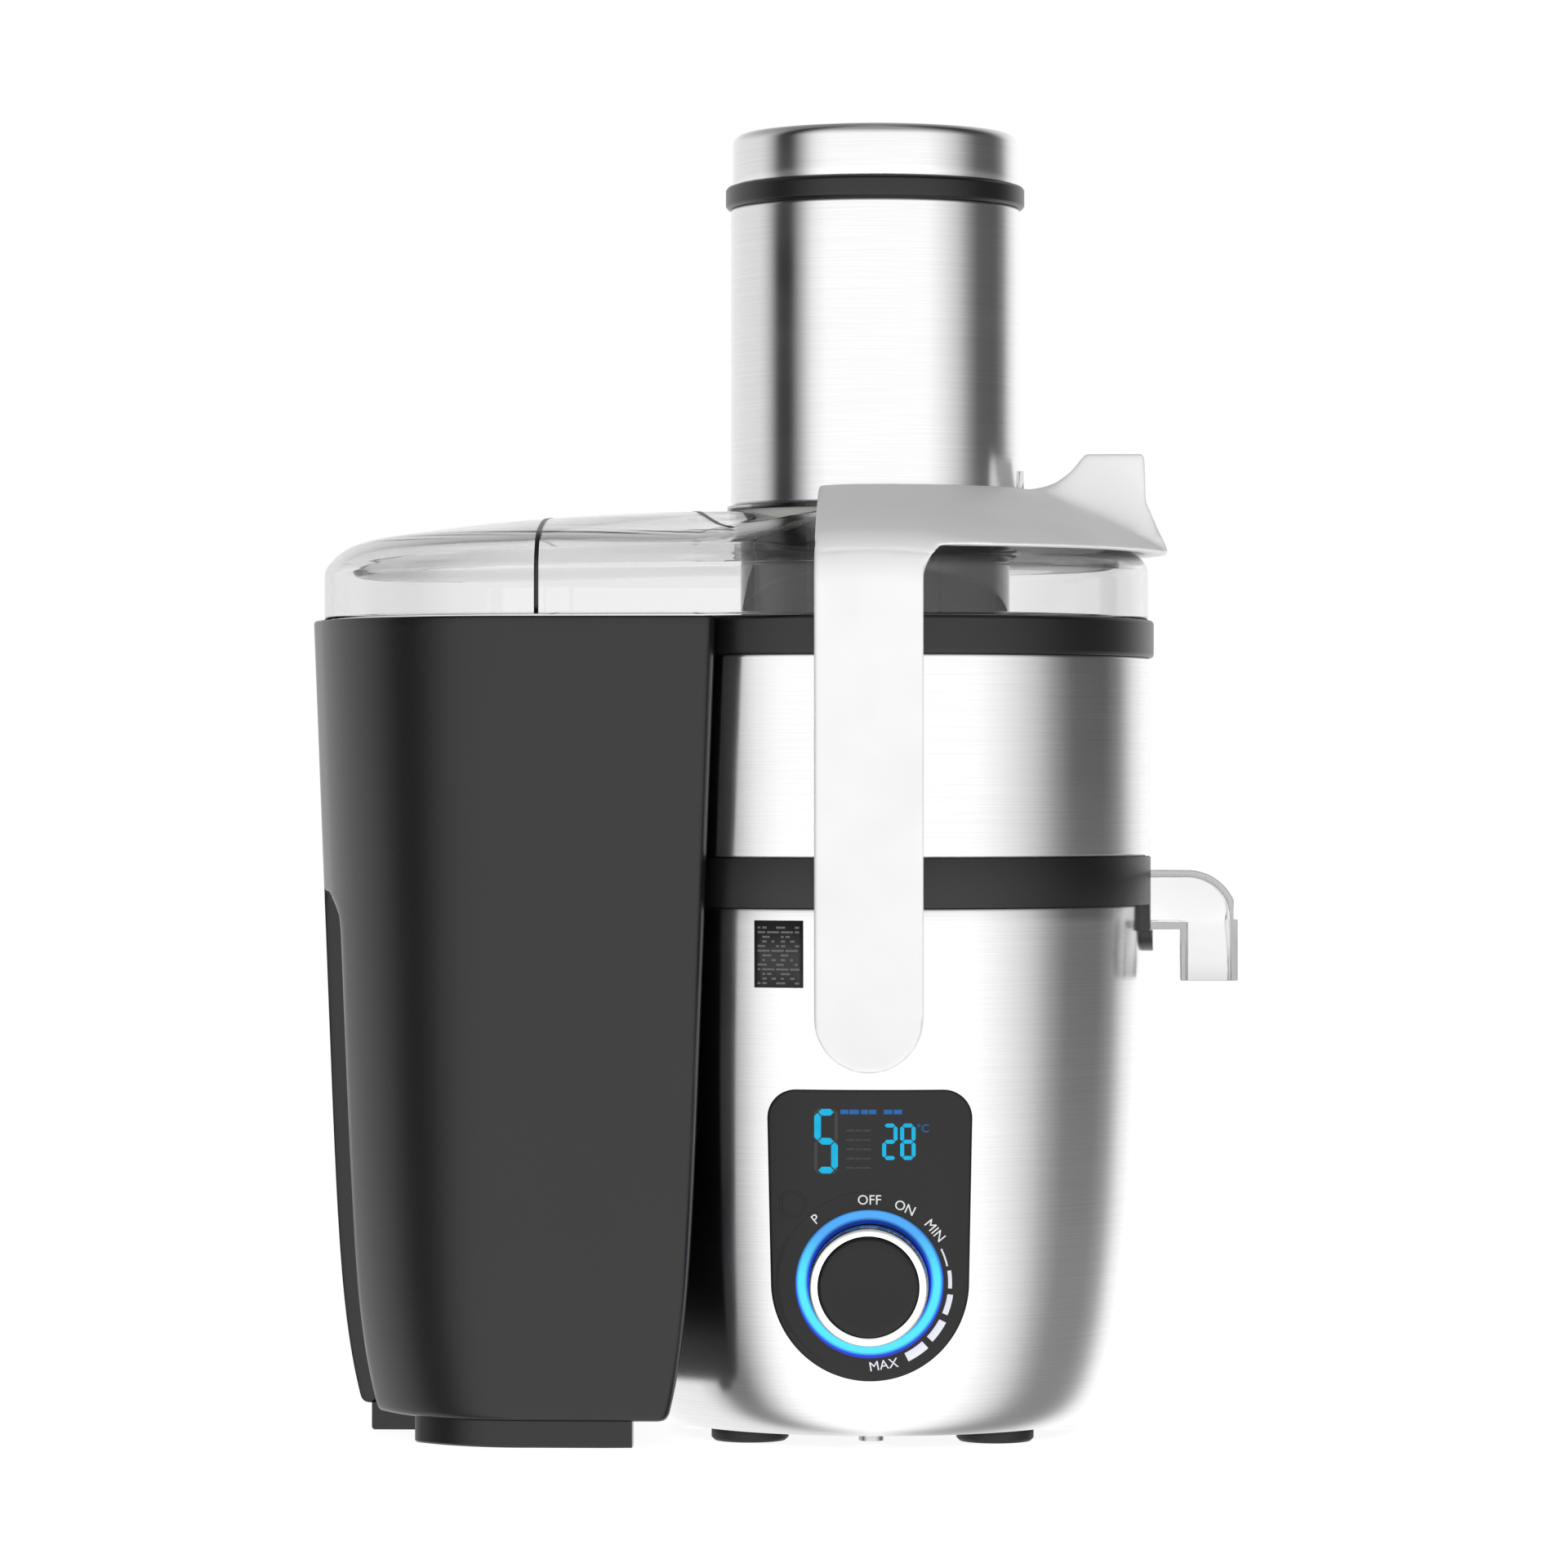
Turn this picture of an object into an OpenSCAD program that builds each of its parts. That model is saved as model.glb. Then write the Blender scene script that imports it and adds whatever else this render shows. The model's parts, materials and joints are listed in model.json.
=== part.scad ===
// Centrifugal juicer: a motor base with a speed dial, a juice bowl with a spout, a spinning filter,
// a clear lid with a wide feed chute and pusher, a pulp bin, and a swinging arm that locks the lid.
// Millimetres. Z is up, the controls face -Y, the pulp bin stands at -X and the spout points to +X.
// The origin is on the table at the middle of the footprint, so the motor axis stands at X = axis_x.

/* [Motor base] */
// Radius of the steel housing at its top edge
housing_r = 87; // [86.5:0.1:87.2]
// Height of the housing's top edge above the table
housing_top = 170; // [168:0.5:171]
// Thickness of the steel skin
skin_t = 1.2; // [0.8:0.1:1.4]
// Radius of a rubber foot
foot_r = 12.3; // [10:0.1:12.5]
// Height of a rubber foot
foot_h = 4; // [4:0.1:4]

/* [Control panel] */
// Width of the panel across its straight sides
panel_w = 64; // [60:0.5:66]
// Height of the panel's top edge
panel_top = 113.5; // [110:0.5:115]
// Height of the dial's centre
dial_z = 53; // [52:0.5:54]
// Radius of the dial's dark cap
dial_cap_r = 15.6; // [14:0.1:16]
// Outer radius of the lit ring round the dial
light_r = 23.1; // [22:0.1:24]

/* [Juice bowl] */
// Radius of the black band under the bowl
deck_r = 90; // [89.5:0.1:90.2]
// Height of that band's top face, which the bowl stands on
deck_top = 185.5; // [185:0.5:186]
// Radius of the steel cover round the bowl
cover_r = 89; // [88.6:0.1:89.2]
// Height of the steel cover's top edge
cover_top = 249.5; // [249:0.5:250]
// Radius of the black rim on the bowl
rim_r = 90.3; // [89.5:0.1:90.5]
// Height of the rim's top face
rim_top = 261.5; // [261:0.5:262]

/* [Lid, chute and pusher] */
// Radius of the lid's round end, over the bowl
lid_r = 88.4; // [87:0.1:88.6]
// Height of the lid where it meets the chute
lid_top = 297; // [296:0.5:297]
// Outer radius of the steel sleeve on the chute
sleeve_r = 46.8; // [46.6:0.1:47]
// Inner radius of the feed chute
chute_bore_r = 41; // [40.5:0.1:41.2]
// Height of the chute's mouth
chute_top = 395; // [390:1:398]
// Radius of the pusher's grip ring
grip_r = 48.4; // [47.5:0.1:48.6]

/* [Locking arm] */
// Height of the arm's pivots
pivot_z = 136; // [135:0.5:137]
// Width of each leg
leg_w = 34; // [30:0.5:36]
// Distance from the motor axis to each leg's inner face
leg_in = 91.3; // [91.3:0.1:92]
// Thickness of each leg
leg_t = 5; // [4:0.1:5.4]

/* [Pulp bin] */
// Distance from the motor axis to the bin's far end, at its rim
bin_end = 182; // [175:0.1:184]
// Distance from the motor axis to the bin's near edge, at its rim
bin_near = 48.2; // [46:0.1:50]
// Half the bin's depth at its rim
bin_half = 88; // [84:0.5:90]
// Thickness of the bin's wall
bin_wall = 2.5; // [2:0.1:3]

/* [Hidden] */
$fn = 96;

axis_x = 32.5;              // the motor axis, from the middle of the footprint
eps = 0.5;                  // how far a cut runs past the face that it cuts
plate_t = 3;                // base plate
plate_r = 67;
foot_at = 39;               // feet and motor posts, from the axis in X and in Y
post_top = 27;
skirt_r = 84.2;             // the deck's skirt, inside the housing
skirt_in = 81.4;
skirt_low = 118;
floor_low = 156;            // the deck's floor
floor_t = 3;
notch_half = 13.2;          // half the width of the notch that the spout leaves by
saddle_half = 16;
shaft_r = 4;
bore_gap = 0.03;            // running clearance of the shaft
bearing_r = 11;
bearing_h = 7;
coupling_r = 9;
hub_r = 18;
disc_z = 198;               // the shredder disc
disc_r = 46;
basket_top = 256;
basket_top_r = 74;
bowl_in = 84.8;
bowl_out = 87.3;
gutter_out = 81;
gutter_z = 161;
spout_half = 12.5;
spout_wall = 2.2;
spout_top = 181;
spout_low = 162;
spout_tip = 117;            // the nozzle's outer face, from the axis
spout_back = 98.7;          // the nozzle's inner face
spout_mouth = 145.5;
lid_low = 261.8;
lid_wall = 2.5;
lid_inset = 3.4;            // the lid's wall stands this far inside the bin's rim
sphere_in = 171;            // the arm's bridge lies on a sphere round its pivots' midpoint
sphere_out = 175.5;
bridge_r = 96.3;            // the bridge's outer edge, from the axis
bridge_low = 283;
bridge_top = 304;
arm_fillet = 10;
pusher_low = 208;
pusher_r = 40;
bin_low = 8.5;
bin_top = 261.3;
end_long = 72;              // the bin's rounded end is half an ellipse of this length

// Radius of the housing's outer face at height z: nearly straight above, drawn in towards the table
function housing_at(z) = let (u = (housing_top - z) / housing_top)
    housing_r - 4 * u - 6 * pow(u, 3) - 8 * pow(u, 8) - 6.5 * pow(u, 40);

// How far the bin's walls have come in at height z
function bin_draft(z) = let (v = (bin_top - z) / bin_top) 10 * v + 8.4 * pow(v, 10);

// The bin's plan with its walls d further in: half an ellipse at the far end, and square near corners
function bin_outline(d, corner = 6) = let (half = bin_half - d, near = -bin_near - d)
    concat(
        [for (t = [-90 : 6 : 90]) [-bin_end + end_long - (end_long - d) * cos(t), -half * sin(t)]],
        [for (t = [-90 : 30 : 0]) [near - corner + corner * cos(t), -half + corner + corner * sin(t)]],
        [for (t = [0 : 30 : 90]) [near - corner + corner * cos(t), half - corner + corner * sin(t)]]);

// The whole machine stands with its motor axis at axis_x
module on_axis() {
    translate([axis_x, 0, 0]) children();
}

module ring(r_in, r_out, low, high) {
    difference() {
        translate([0, 0, low]) cylinder(r = r_out, h = high - low);
        translate([0, 0, low - eps]) cylinder(r = r_in, h = high - low + 2 * eps);
    }
}

// A round bar or disc along Y
module bar_y(r, from, to, z) {
    translate([0, to, z]) rotate([90, 0, 0]) cylinder(r = r, h = to - from);
}

module ring_y(r_in, r_out, from, to, z) {
    difference() {
        bar_y(r_out, from, to, z);
        bar_y(r_in, from - eps, to + eps, z);
    }
}

module at_corners(d) {
    for (x = [-d, d]) for (y = [-d, d]) translate([x, y, 0]) children();
}

module block(low, high) {
    translate(low) cube(high - low);
}

module front_and_rear() {
    children();
    mirror([0, 1, 0]) children();
}

// ---------- motor base ----------

// The housing's profile as a list of points, grown outwards by grow, from the bottom up
function housing_line(grow, low) = [for (i = [0 : 28]) let (z = low + (housing_top - low) * pow(i / 28, 1.7))
    [housing_at(z) + grow, z]];

module housing_solid(grow, low = foot_h) {
    rotate_extrude() polygon(concat([[0, low]], housing_line(grow, low), [[0, housing_top]]));
}

// The panel's outline: a round foot about the dial, and rounded corners above
function panel_outline(grow) = let (corner = 9, half = panel_w / 2, side = half - corner)
    concat(
        [for (t = [180 : 6 : 360]) [0, dial_z] + (half - 1 + grow) * [cos(t), sin(t)]],
        [for (t = [0 : 15 : 90]) [side, panel_top - corner] + (corner + grow) * [cos(t), sin(t)]],
        [for (t = [90 : 15 : 180]) [-side, panel_top - corner] + (corner + grow) * [cos(t), sin(t)]]);

// The panel's outline swept forwards from the motor axis
module panel_sweep(grow = 0) {
    rotate([90, 0, 0]) linear_extrude(height = 110) polygon(panel_outline(grow));
}

module rubber_feet() {
    color("black") on_axis() at_corners(foot_at) union() {
        translate([0, 0, 1]) cylinder(r = foot_r, h = foot_h - 1);
        cylinder(r1 = foot_r - 1, r2 = foot_r, h = 1);
    }
}

module base_plate() {
    slot_l = 22;
    color("black") on_axis() difference() {
        union() {
            translate([0, 0, foot_h]) cylinder(r = plate_r, h = plate_t);
            ring(plate_r - 3, plate_r, foot_h, foot_h + 8);
            at_corners(foot_at) translate([0, 0, foot_h]) cylinder(r = 6, h = post_top - foot_h);
        }
        at_corners(foot_at) translate([0, 0, 12]) cylinder(r = 2.05, h = 20);
        for (y = [-24 : 8 : 24]) block([-slot_l, y - 1.5, 0], [slot_l, y + 1.5, 20]);
        for (a = [0 : 90 : 270]) rotate(a) translate([58, 0, 0]) cylinder(r = 2.05, h = 20);
    }
}

// Screws that close the plate against the deck's long bosses
module plate_screws() {
    color("silver") on_axis() for (a = [0 : 90 : 270]) rotate(a) translate([58, 0, 0]) {
        translate([0, 0, foot_h - 2.2]) cylinder(r = 4, h = 2.2);
        translate([0, 0, foot_h - 0.01]) cylinder(r = 2, h = 16);
    }
}

// The drip guard under the spout: square where it meets the deck, and round below
module drip_guard(grow = 0) {
    block([60, -saddle_half - grow, spout_low - 0.5 - grow], [100, saddle_half + grow, deck_top]);
    translate([60, 0, 166.8]) rotate([0, 90, 0]) cylinder(r = 12 + grow, h = 40);
}

module housing_shell() {
    low = foot_h;
    color("lightgray") on_axis() difference() {
        rotate_extrude() polygon(concat(housing_line(0, low),
            [for (i = [28 : -1 : 0]) housing_line(-skin_t, low)[i]]));
        panel_sweep(0.15);
        front_and_rear() bar_y(8.2, -100, -60, pivot_z);
        drip_guard(0.2);
        bar_y(8.1, 60, 100, 24);
        for (x = [-24 : 6 : 24]) if (abs(x) > 12) block([x - 1.2, 50, 34], [x + 1.2, 100, 60]);
    }
}

module top_deck() {
    boss_at = 58;
    color([0.13, 0.13, 0.13]) on_axis() difference() {
        union() {
            ring(skirt_in, deck_r, housing_top + 0.1, deck_top);
            ring(skirt_in, skirt_r, skirt_low, housing_top + 1);
            translate([0, 0, floor_low]) cylinder(r = skirt_in + 0.5, h = floor_t);
            translate([0, 0, floor_low]) cylinder(r = 14, h = 14);
            intersection() {
                drip_guard();
                ring(skirt_in, deck_r, 150, 200);
            }
            for (a = [0 : 90 : 270]) rotate(a) translate([boss_at, 0, 20]) cylinder(r = 5, h = floor_low - 19);
            block([16, -79.8, 130], [22, -76, 138]);
        }
        translate([0, 0, floor_low + 4]) cylinder(r = 10.05, h = 20);
        cylinder(r = 6.5, h = 200);
        for (a = [0 : 90 : 270]) rotate(a) translate([boss_at, 0, 10]) cylinder(r = 2.05, h = 30);
        block([60, -notch_half, spout_low - 0.5], [100, notch_half, 200]);
        front_and_rear() bar_y(8.05, -100, -60, pivot_z);
    }
}

module control_panel() {
    color([0.12, 0.12, 0.12]) on_axis() difference() {
        intersection() {
            panel_sweep();
            housing_solid(0.9);
        }
        housing_solid(-2.2, 0);
        bar_y(light_r + 0.05, -110, -50, dial_z);
    }
}

// Disc behind the knob, inside the lit ring
module knob_seat() {
    color([0.12, 0.12, 0.12]) on_axis() ring_y(3.2, 18.75, -84.6, -77, dial_z);
}

module light_ring() {
    color("deepskyblue") on_axis() ring_y(18.85, light_r, -85.4, -77, dial_z);
}

module display_module() {
    color("gray") on_axis() block([-26, -76.4, 80], [26, -66.1, 106]);
}

module control_board() {
    color("green") on_axis() difference() {
        block([-28, -66, 32], [28, -64.4, 110]);
        bar_y(3.5, -70, -60, dial_z);
    }
}

module selector_switch() {
    color("silver") on_axis() difference() {
        union() {
            block([-8, -74, dial_z - 8], [8, -66.1, dial_z + 8]);
            bar_y(5, -76.9, -73.5, dial_z);
        }
        bar_y(3.04, -80, -60, dial_z);
    }
}

module power_board() {
    color("green") on_axis() {
        block([-25, 64, 36], [25, 65.6, 86]);
        bar_y(7, 65.5, 75, 70);
        block([10, 65.5, 62], [24, 73, 80]);
    }
}

module cord_gland() {
    color("black") on_axis() difference() {
        union() {
            bar_y(8, 70, 79.6, 24);
            bar_y(9.6, 79.5, 83, 24);
            bar_y(6.4, 82, 99, 24);
        }
        bar_y(3.6, 60, 100, 24);
    }
}

module side_label() {
    color([0.2, 0.2, 0.2]) on_axis() intersection() {
        block([-36, -100, 145.2], [-20.8, -60, 166.2]);
        difference() {
            housing_solid(0.35);
            housing_solid(0.02, 0);
        }
    }
}

module pivot_bushes() {
    color("silver") on_axis() front_and_rear() {
        difference() {
            union() {
                bar_y(8, -86.4, -78, pivot_z);
                bar_y(10.5, -88.6, -86.55, pivot_z);
            }
            bar_y(5.05, -100, -60, pivot_z);
        }
    }
}

module interlock_switch() {
    color("darkred") on_axis() union() {
        block([11, -76, 128], [27, -70, 138]);
        block([9.6, -74.5, 134.5], [11, -71.5, 137.5]);
    }
}

// ---------- motor ----------

module motor_dampers() {
    color("black") on_axis() at_corners(foot_at) difference() {
        union() {
            translate([0, 0, post_top]) cylinder(r = 8, h = 3);
            translate([0, 0, post_top + 2.9]) cylinder(r = 5.4, h = 3.2);
            translate([0, 0, post_top + 6]) cylinder(r = 8, h = 3);
        }
        translate([0, 0, post_top - eps]) cylinder(r = 2.1, h = 12);
    }
}

module damper_screws() {
    color("silver") on_axis() at_corners(foot_at) {
        translate([0, 0, 14]) cylinder(r = 2, h = post_top + 9 - 14 + 0.01);
        translate([0, 0, post_top + 9]) cylinder(r = 4.5, h = 2.6);
    }
}

module lower_bracket() {
    color("gray") on_axis() difference() {
        union() {
            translate([0, 0, post_top + 3]) cylinder(r = 64, h = 3);
            translate([0, 0, post_top + 5.9]) cylinder(r = 15, h = 9);
        }
        cylinder(r = 6, h = 60);
        translate([0, 0, 35.5]) cylinder(r = bearing_r + 0.01, h = 20);
        at_corners(foot_at) cylinder(r = 5.5, h = 60);
        for (a = [45 : 90 : 315]) rotate(a) translate([28, 0, 0]) cylinder(r = 9, h = 60);
        for (a = [0 : 90 : 270]) rotate(a) {
            translate([46, 0, 0]) cylinder(r = 2.05, h = 60);
            translate([58, 0, 0]) cylinder(r = 5.4, h = 60);
        }
    }
}

module upper_bracket() {
    color("gray") on_axis() difference() {
        union() {
            translate([0, 0, 134]) cylinder(r = 50, h = 3);
            translate([0, 0, 136.9]) cylinder(r = 15, h = 11);
        }
        translate([0, 0, 120]) cylinder(r = 6, h = 60);
        translate([0, 0, 139]) cylinder(r = bearing_r + 0.01, h = 20);
        for (a = [0 : 90 : 270]) rotate(a) translate([46, 0, 120]) cylinder(r = 2.05, h = 60);
        for (a = [45 : 90 : 315]) rotate(a) translate([32, 0, 120]) cylinder(r = 8, h = 60);
    }
}

module motor_bolts() {
    color("silver") on_axis() for (a = [0 : 90 : 270]) rotate(a) translate([46, 0, 0]) {
        translate([0, 0, post_top]) cylinder(r = 2, h = 110);
        translate([0, 0, 137]) cylinder(r = 3.6, h = 2.8);
    }
}

module bearing(low) {
    ring(shaft_r + bore_gap, bearing_r, low, low + bearing_h);
}

module lower_bearing() {
    color("silver") on_axis() bearing(36);
}

module upper_bearing() {
    color("silver") on_axis() bearing(139.5);
}

module stator_core() {
    color("dimgray") on_axis() difference() {
        intersection() {
            translate([0, 0, 64]) cylinder(r = 43, h = 48);
            block([-36, -50, 60], [36, 50, 120]);
        }
        translate([0, 0, 60]) cylinder(r = 25, h = 60);
    }
}

module field_coils() {
    color("peru") on_axis() for (low = [57.5, 112.1]) intersection() {
        ring(27, 38, low, low + 6.4);
        block([-34, -50, 50], [34, 50, 120]);
    }
}

module brush_holders() {
    color("goldenrod") on_axis() for (side = [0, 180]) rotate(side) difference() {
        block([12, -6, 120], [32, 6, 133.9]);
        block([10, -3.1, 122.5], [30, 3.1, 129.5]);
    }
}

module carbon_brushes() {
    color("black") on_axis() for (side = [0, 180]) rotate(side) block([11.3, -3, 122.6], [26, 3, 129.4]);
}

module shaft_seal() {
    color("black") on_axis() ring(shaft_r + bore_gap, 10, floor_low + 4.1, floor_low + 12);
}

module motor_shaft() {
    color("silver") on_axis() translate([0, 0, 36]) cylinder(r = shaft_r, h = 151);
}

module rotor_core() {
    color("dimgray") on_axis() ring(shaft_r, 24, 66, 110);
}

module rotor_windings() {
    color("peru") on_axis() for (low = [59.5, 110]) ring(shaft_r, 20, low, low + 6.5);
}

module commutator() {
    color("peru") on_axis() difference() {
        ring(shaft_r, 11, 118.5, 131);
        for (a = [0 : 15 : 345]) rotate(a) block([10, -0.25, 119.5], [12, 0.25, 132]);
    }
}

module cooling_fan() {
    color("white") on_axis() union() {
        ring(shaft_r, 8, 45, 56.5);
        ring(shaft_r, 35, 45, 46.5);
        for (a = [0 : 36 : 324]) rotate(a) translate([6, -0.6, 46]) rotate([0, 0, 12]) cube([27, 1.2, 9]);
    }
}

// Hexagonal drive on the shaft's end, which the filter's hub drops over
module drive_coupling() {
    color("silver") on_axis() difference() {
        union() {
            translate([0, 0, 172.5]) cylinder(r = 12, h = 3);
            translate([0, 0, 175]) cylinder(r = coupling_r, h = 13, $fn = 6);
        }
        translate([0, 0, 170]) cylinder(r = shaft_r, h = 17);
    }
}

// ---------- filter ----------

module filter_hub() {
    color([0.2, 0.2, 0.2]) on_axis() difference() {
        union() {
            translate([0, 0, 176]) cylinder(r = hub_r, h = disc_z - 176);
            translate([0, 0, 194]) cylinder(r = disc_r - 1, h = disc_z - 194);
        }
        translate([0, 0, 170]) cylinder(r = coupling_r + 0.15, h = 18.4, $fn = 6);
        ring(hub_r - 4.5, hub_r - 2, 170, 190);
    }
}

module shredder_disc() {
    color("silver") on_axis() union() {
        translate([0, 0, disc_z]) cylinder(r = disc_r, h = 1.2);
        translate([0, 0, disc_z + 1]) cylinder(r1 = 9, r2 = 6, h = 1.8);
    }
}

// Rows of cutting teeth, each a small wedge
module shredder_teeth() {
    color("white") on_axis() for (row = [0 : 60 : 300]) for (k = [0 : 6])
        rotate(row + 4 * k) translate([13 + 4 * k, 0, disc_z + 1.2]) rotate([90, 0, 20])
            linear_extrude(height = 2.4) polygon([[0, 0], [2.2, 0], [2.2, 1.5]]);
}

module filter_basket() {
    color("silver") on_axis() rotate_extrude() polygon([
        [disc_r - 0.9, disc_z + 1.3], [disc_r + 0.2, disc_z + 1.3], [basket_top_r, basket_top],
        [basket_top_r, basket_top + 1], [basket_top_r - 0.8, basket_top + 1], [basket_top_r - 0.9, basket_top]]);
}

module basket_rim() {
    color([0.2, 0.2, 0.2]) on_axis() union() {
        ring(basket_top_r + 0.05, 79, basket_top - 1, basket_top + 3);
        ring(disc_r + 0.3, disc_r + 2.2, disc_z - 4, disc_z + 1);
        ring(disc_r - 0.9, disc_r + 1, disc_z - 4, disc_z - 0.1);
        for (a = [0 : 30 : 330]) rotate(a) rotate([90, 0, 0]) translate([0, 0, -0.9])
            linear_extrude(height = 1.8) polygon([
                [disc_r + 0.9, disc_z], [disc_r + 2.4, disc_z], [basket_top_r + 1.6, basket_top],
                [basket_top_r + 0.25, basket_top]]);
    }
}

// ---------- juice bowl ----------

module juice_bowl() {
    t = 2.5;
    color([0.9, 0.9, 0.9, 0.5]) on_axis() difference() {
        rotate_extrude() polygon([
            [21, gutter_z], [gutter_out, gutter_z], [gutter_out, deck_top], [bowl_out, deck_top],
            [bowl_out, cover_top], [bowl_in, cover_top], [bowl_in, deck_top + t],
            [gutter_out - t, deck_top + t], [gutter_out - t, gutter_z + t], [21 + t, gutter_z + t],
            [21 + t, 183], [21, 183]]);
        block([60, -spout_half + spout_wall, spout_low + spout_wall],
            [100, spout_half - spout_wall, spout_top - spout_wall]);
    }
}

module spout_path(wall) {
    top = spout_top - wall;
    tip = spout_tip - wall;
    bend = 16 - wall;
    back = spout_back + wall;
    union() {
        translate([60, spout_low + wall]) square([tip - bend + 0.1 - 60, top - spout_low - wall]);
        intersection() {
            translate([tip - bend, top - bend]) circle(r = bend);
            translate([back, top - bend]) square(bend + 1);
        }
        translate([back, spout_mouth - 2 * wall]) square([tip - back, top - bend - spout_mouth + 2 * wall + 0.1]);
    }
}

module juice_spout() {
    color([0.9, 0.9, 0.9, 0.5]) on_axis() difference() {
        rotate([90, 0, 0]) translate([0, 0, -spout_half]) linear_extrude(height = 2 * spout_half) spout_path(0);
        rotate([90, 0, 0]) translate([0, 0, -spout_half + spout_wall])
            linear_extrude(height = 2 * (spout_half - spout_wall)) spout_path(spout_wall);
        translate([0, 0, 140]) cylinder(r = gutter_out, h = 60);
    }
}

module bowl_cover() {
    color("lightgray") on_axis() ring(cover_r - skin_t, cover_r, deck_top + 0.1, cover_top);
}

module bowl_rim() {
    color([0.13, 0.13, 0.13]) on_axis() difference() {
        ring(84, rim_r, cover_top + 0.1, rim_top);
        ring(85.5, 87.5, rim_top - 1.6, rim_top + 1);
    }
}

module bowl_seal() {
    color("white") on_axis() ring(85.55, 87.45, rim_top - 1.55, rim_top + 0.25);
}

// ---------- lid, chute and pusher ----------

// The bin end of the lid's plan, inset by d
module lid_end(d, z, h) {
    translate([0, 0, z]) linear_extrude(height = h)
        polygon([for (t = [-90 : 6 : 90]) let (i = lid_inset + d)
            [-bin_end + end_long - (end_long - i) * cos(t), (bin_half - i) * sin(t)]]);
}

// The domed lid as a solid, with every face d further in
module lid_dome(d) {
    $fn = 90;
    hull() {
        lid_end(d, lid_low - 20 * sign(d), 14.5 + 20 * sign(d) - 0.3 * d);
        translate([0, 0, lid_low - 20 * sign(d)]) cylinder(r = lid_r - d, h = 14.5 + 20 * sign(d) - 0.3 * d);
        lid_end(d + 2.6, 281.4 - d, 0.1);
        translate([0, 0, 281.2 - d]) cylinder(r = lid_r - d - 3.6, h = 0.1);
        lid_end(d + 7, 285.8 - d, 0.1);
        lid_end(d + 17, 288.9 - d, 0.1);
        lid_end(d + 34, 291.6 - d, 0.1);
        translate([0, 0, lid_top - d - 0.1]) cylinder(r = 54 - d, h = 0.1);
    }
}

module lid_cover() {
    color([0.95, 0.95, 0.95, 0.4]) on_axis() difference() {
        lid_dome(0);
        lid_dome(lid_wall);
        translate([0, 0, 200]) cylinder(r = 45.5, h = 200);
    }
}

// Two dark ribs under the front of the lid: one across it, and one bowed round the chute
module lid_ribs() {
    bow = 159.7;
    color([0.1, 0.1, 0.1]) on_axis() difference() {
        intersection() {
            lid_dome(lid_wall + 0.05);
            block([-110, -100, lid_low], [-20, 12, 300]);
            union() {
                block([-104.7, -100, lid_low], [-103.3, 100, 300]);
                difference() {
                    translate([101, 0, 284]) cylinder(r = bow + 0.7, h = 20);
                    translate([101, 0, 280]) cylinder(r = bow - 0.7, h = 30);
                }
            }
        }
        lid_dome(lid_wall + 1.6);
    }
}

module feed_chute() {
    color([0.95, 0.95, 0.95, 0.4]) on_axis() union() {
        ring(chute_bore_r, 43.6, 206, 292);
        ring(chute_bore_r, 45.4, 291, chute_top);
        ring(chute_bore_r + 2, 48, lid_top + 0.05, lid_top + 1.5);
        block([sleeve_r - 3, -4, lid_top + 0.1], [48.2, 4, lid_top + 13]);
    }
}

module chute_sleeve() {
    color("lightgray") on_axis() difference() {
        ring(sleeve_r - skin_t, sleeve_r, lid_top + 1.55, chute_top);
        block([0, -4.1, lid_top], [60, 4.1, lid_top + 13.1]);
    }
}

module pusher_body() {
    color([0.3, 0.3, 0.3]) on_axis() difference() {
        translate([0, 0, pusher_low]) cylinder(r = pusher_r, h = chute_top + 7 - pusher_low);
        translate([0, 0, pusher_low + 3]) cylinder(r = pusher_r - 2.5, h = 250);
        for (a = [0 : 60 : 300]) rotate(a) translate([pusher_r + 0.6, 0, pusher_low - 1])
            cylinder(r = 1.4, h = chute_top - pusher_low - 4);
    }
}

module pusher_ring() {
    color([0.13, 0.13, 0.13]) on_axis() difference() {
        ring(pusher_r + 0.02, grip_r, chute_top + 0.05, chute_top + 7);
        ring(47.4, 60, chute_top + 3, chute_top + 3.6);
    }
}

module pusher_cap() {
    low = chute_top + 7.05;
    top = 419;
    side = 46.2;
    corner = 4;
    dome_r = 280;
    color("lightgray") on_axis() rotate_extrude() difference() {
        union() {
            translate([0, low]) square([side, top - corner - low]);
            translate([0, low]) square([side - corner, top - low]);
            translate([side - corner, top - corner]) circle(r = corner);
            intersection() {
                translate([0, top + 3 - dome_r]) circle(r = dome_r, $fn = 900);
                translate([0, top - 1]) square([side - corner, 6]);
            }
            intersection() {
                translate([0, top + 2]) circle(r = 2.4);
                translate([0, top - 1]) square([6, 8]);
            }
        }
        translate([0, low - 1]) square([side - skin_t, top - skin_t - corner - low + 1]);
        translate([-500, -500]) square([500, 1500]);
    }
}

// ---------- dial ----------

module knob_cap() {
    color([0.12, 0.12, 0.12]) on_axis() difference() {
        bar_y(dial_cap_r, -99, -86.2, dial_z);
        bar_y(3.02, -95, -80, dial_z);
    }
}

module knob_ring() {
    color("white") on_axis() union() {
        ring_y(dial_cap_r + 0.02, 18.2, -98.2, -97.2, dial_z);
        ring_y(dial_cap_r + 0.02, 18.5, -97.25, -86.2, dial_z);
    }
}

module knob_spindle() {
    color("silver") on_axis() bar_y(3, -95, -67, dial_z);
}

// ---------- locking arm ----------

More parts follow.
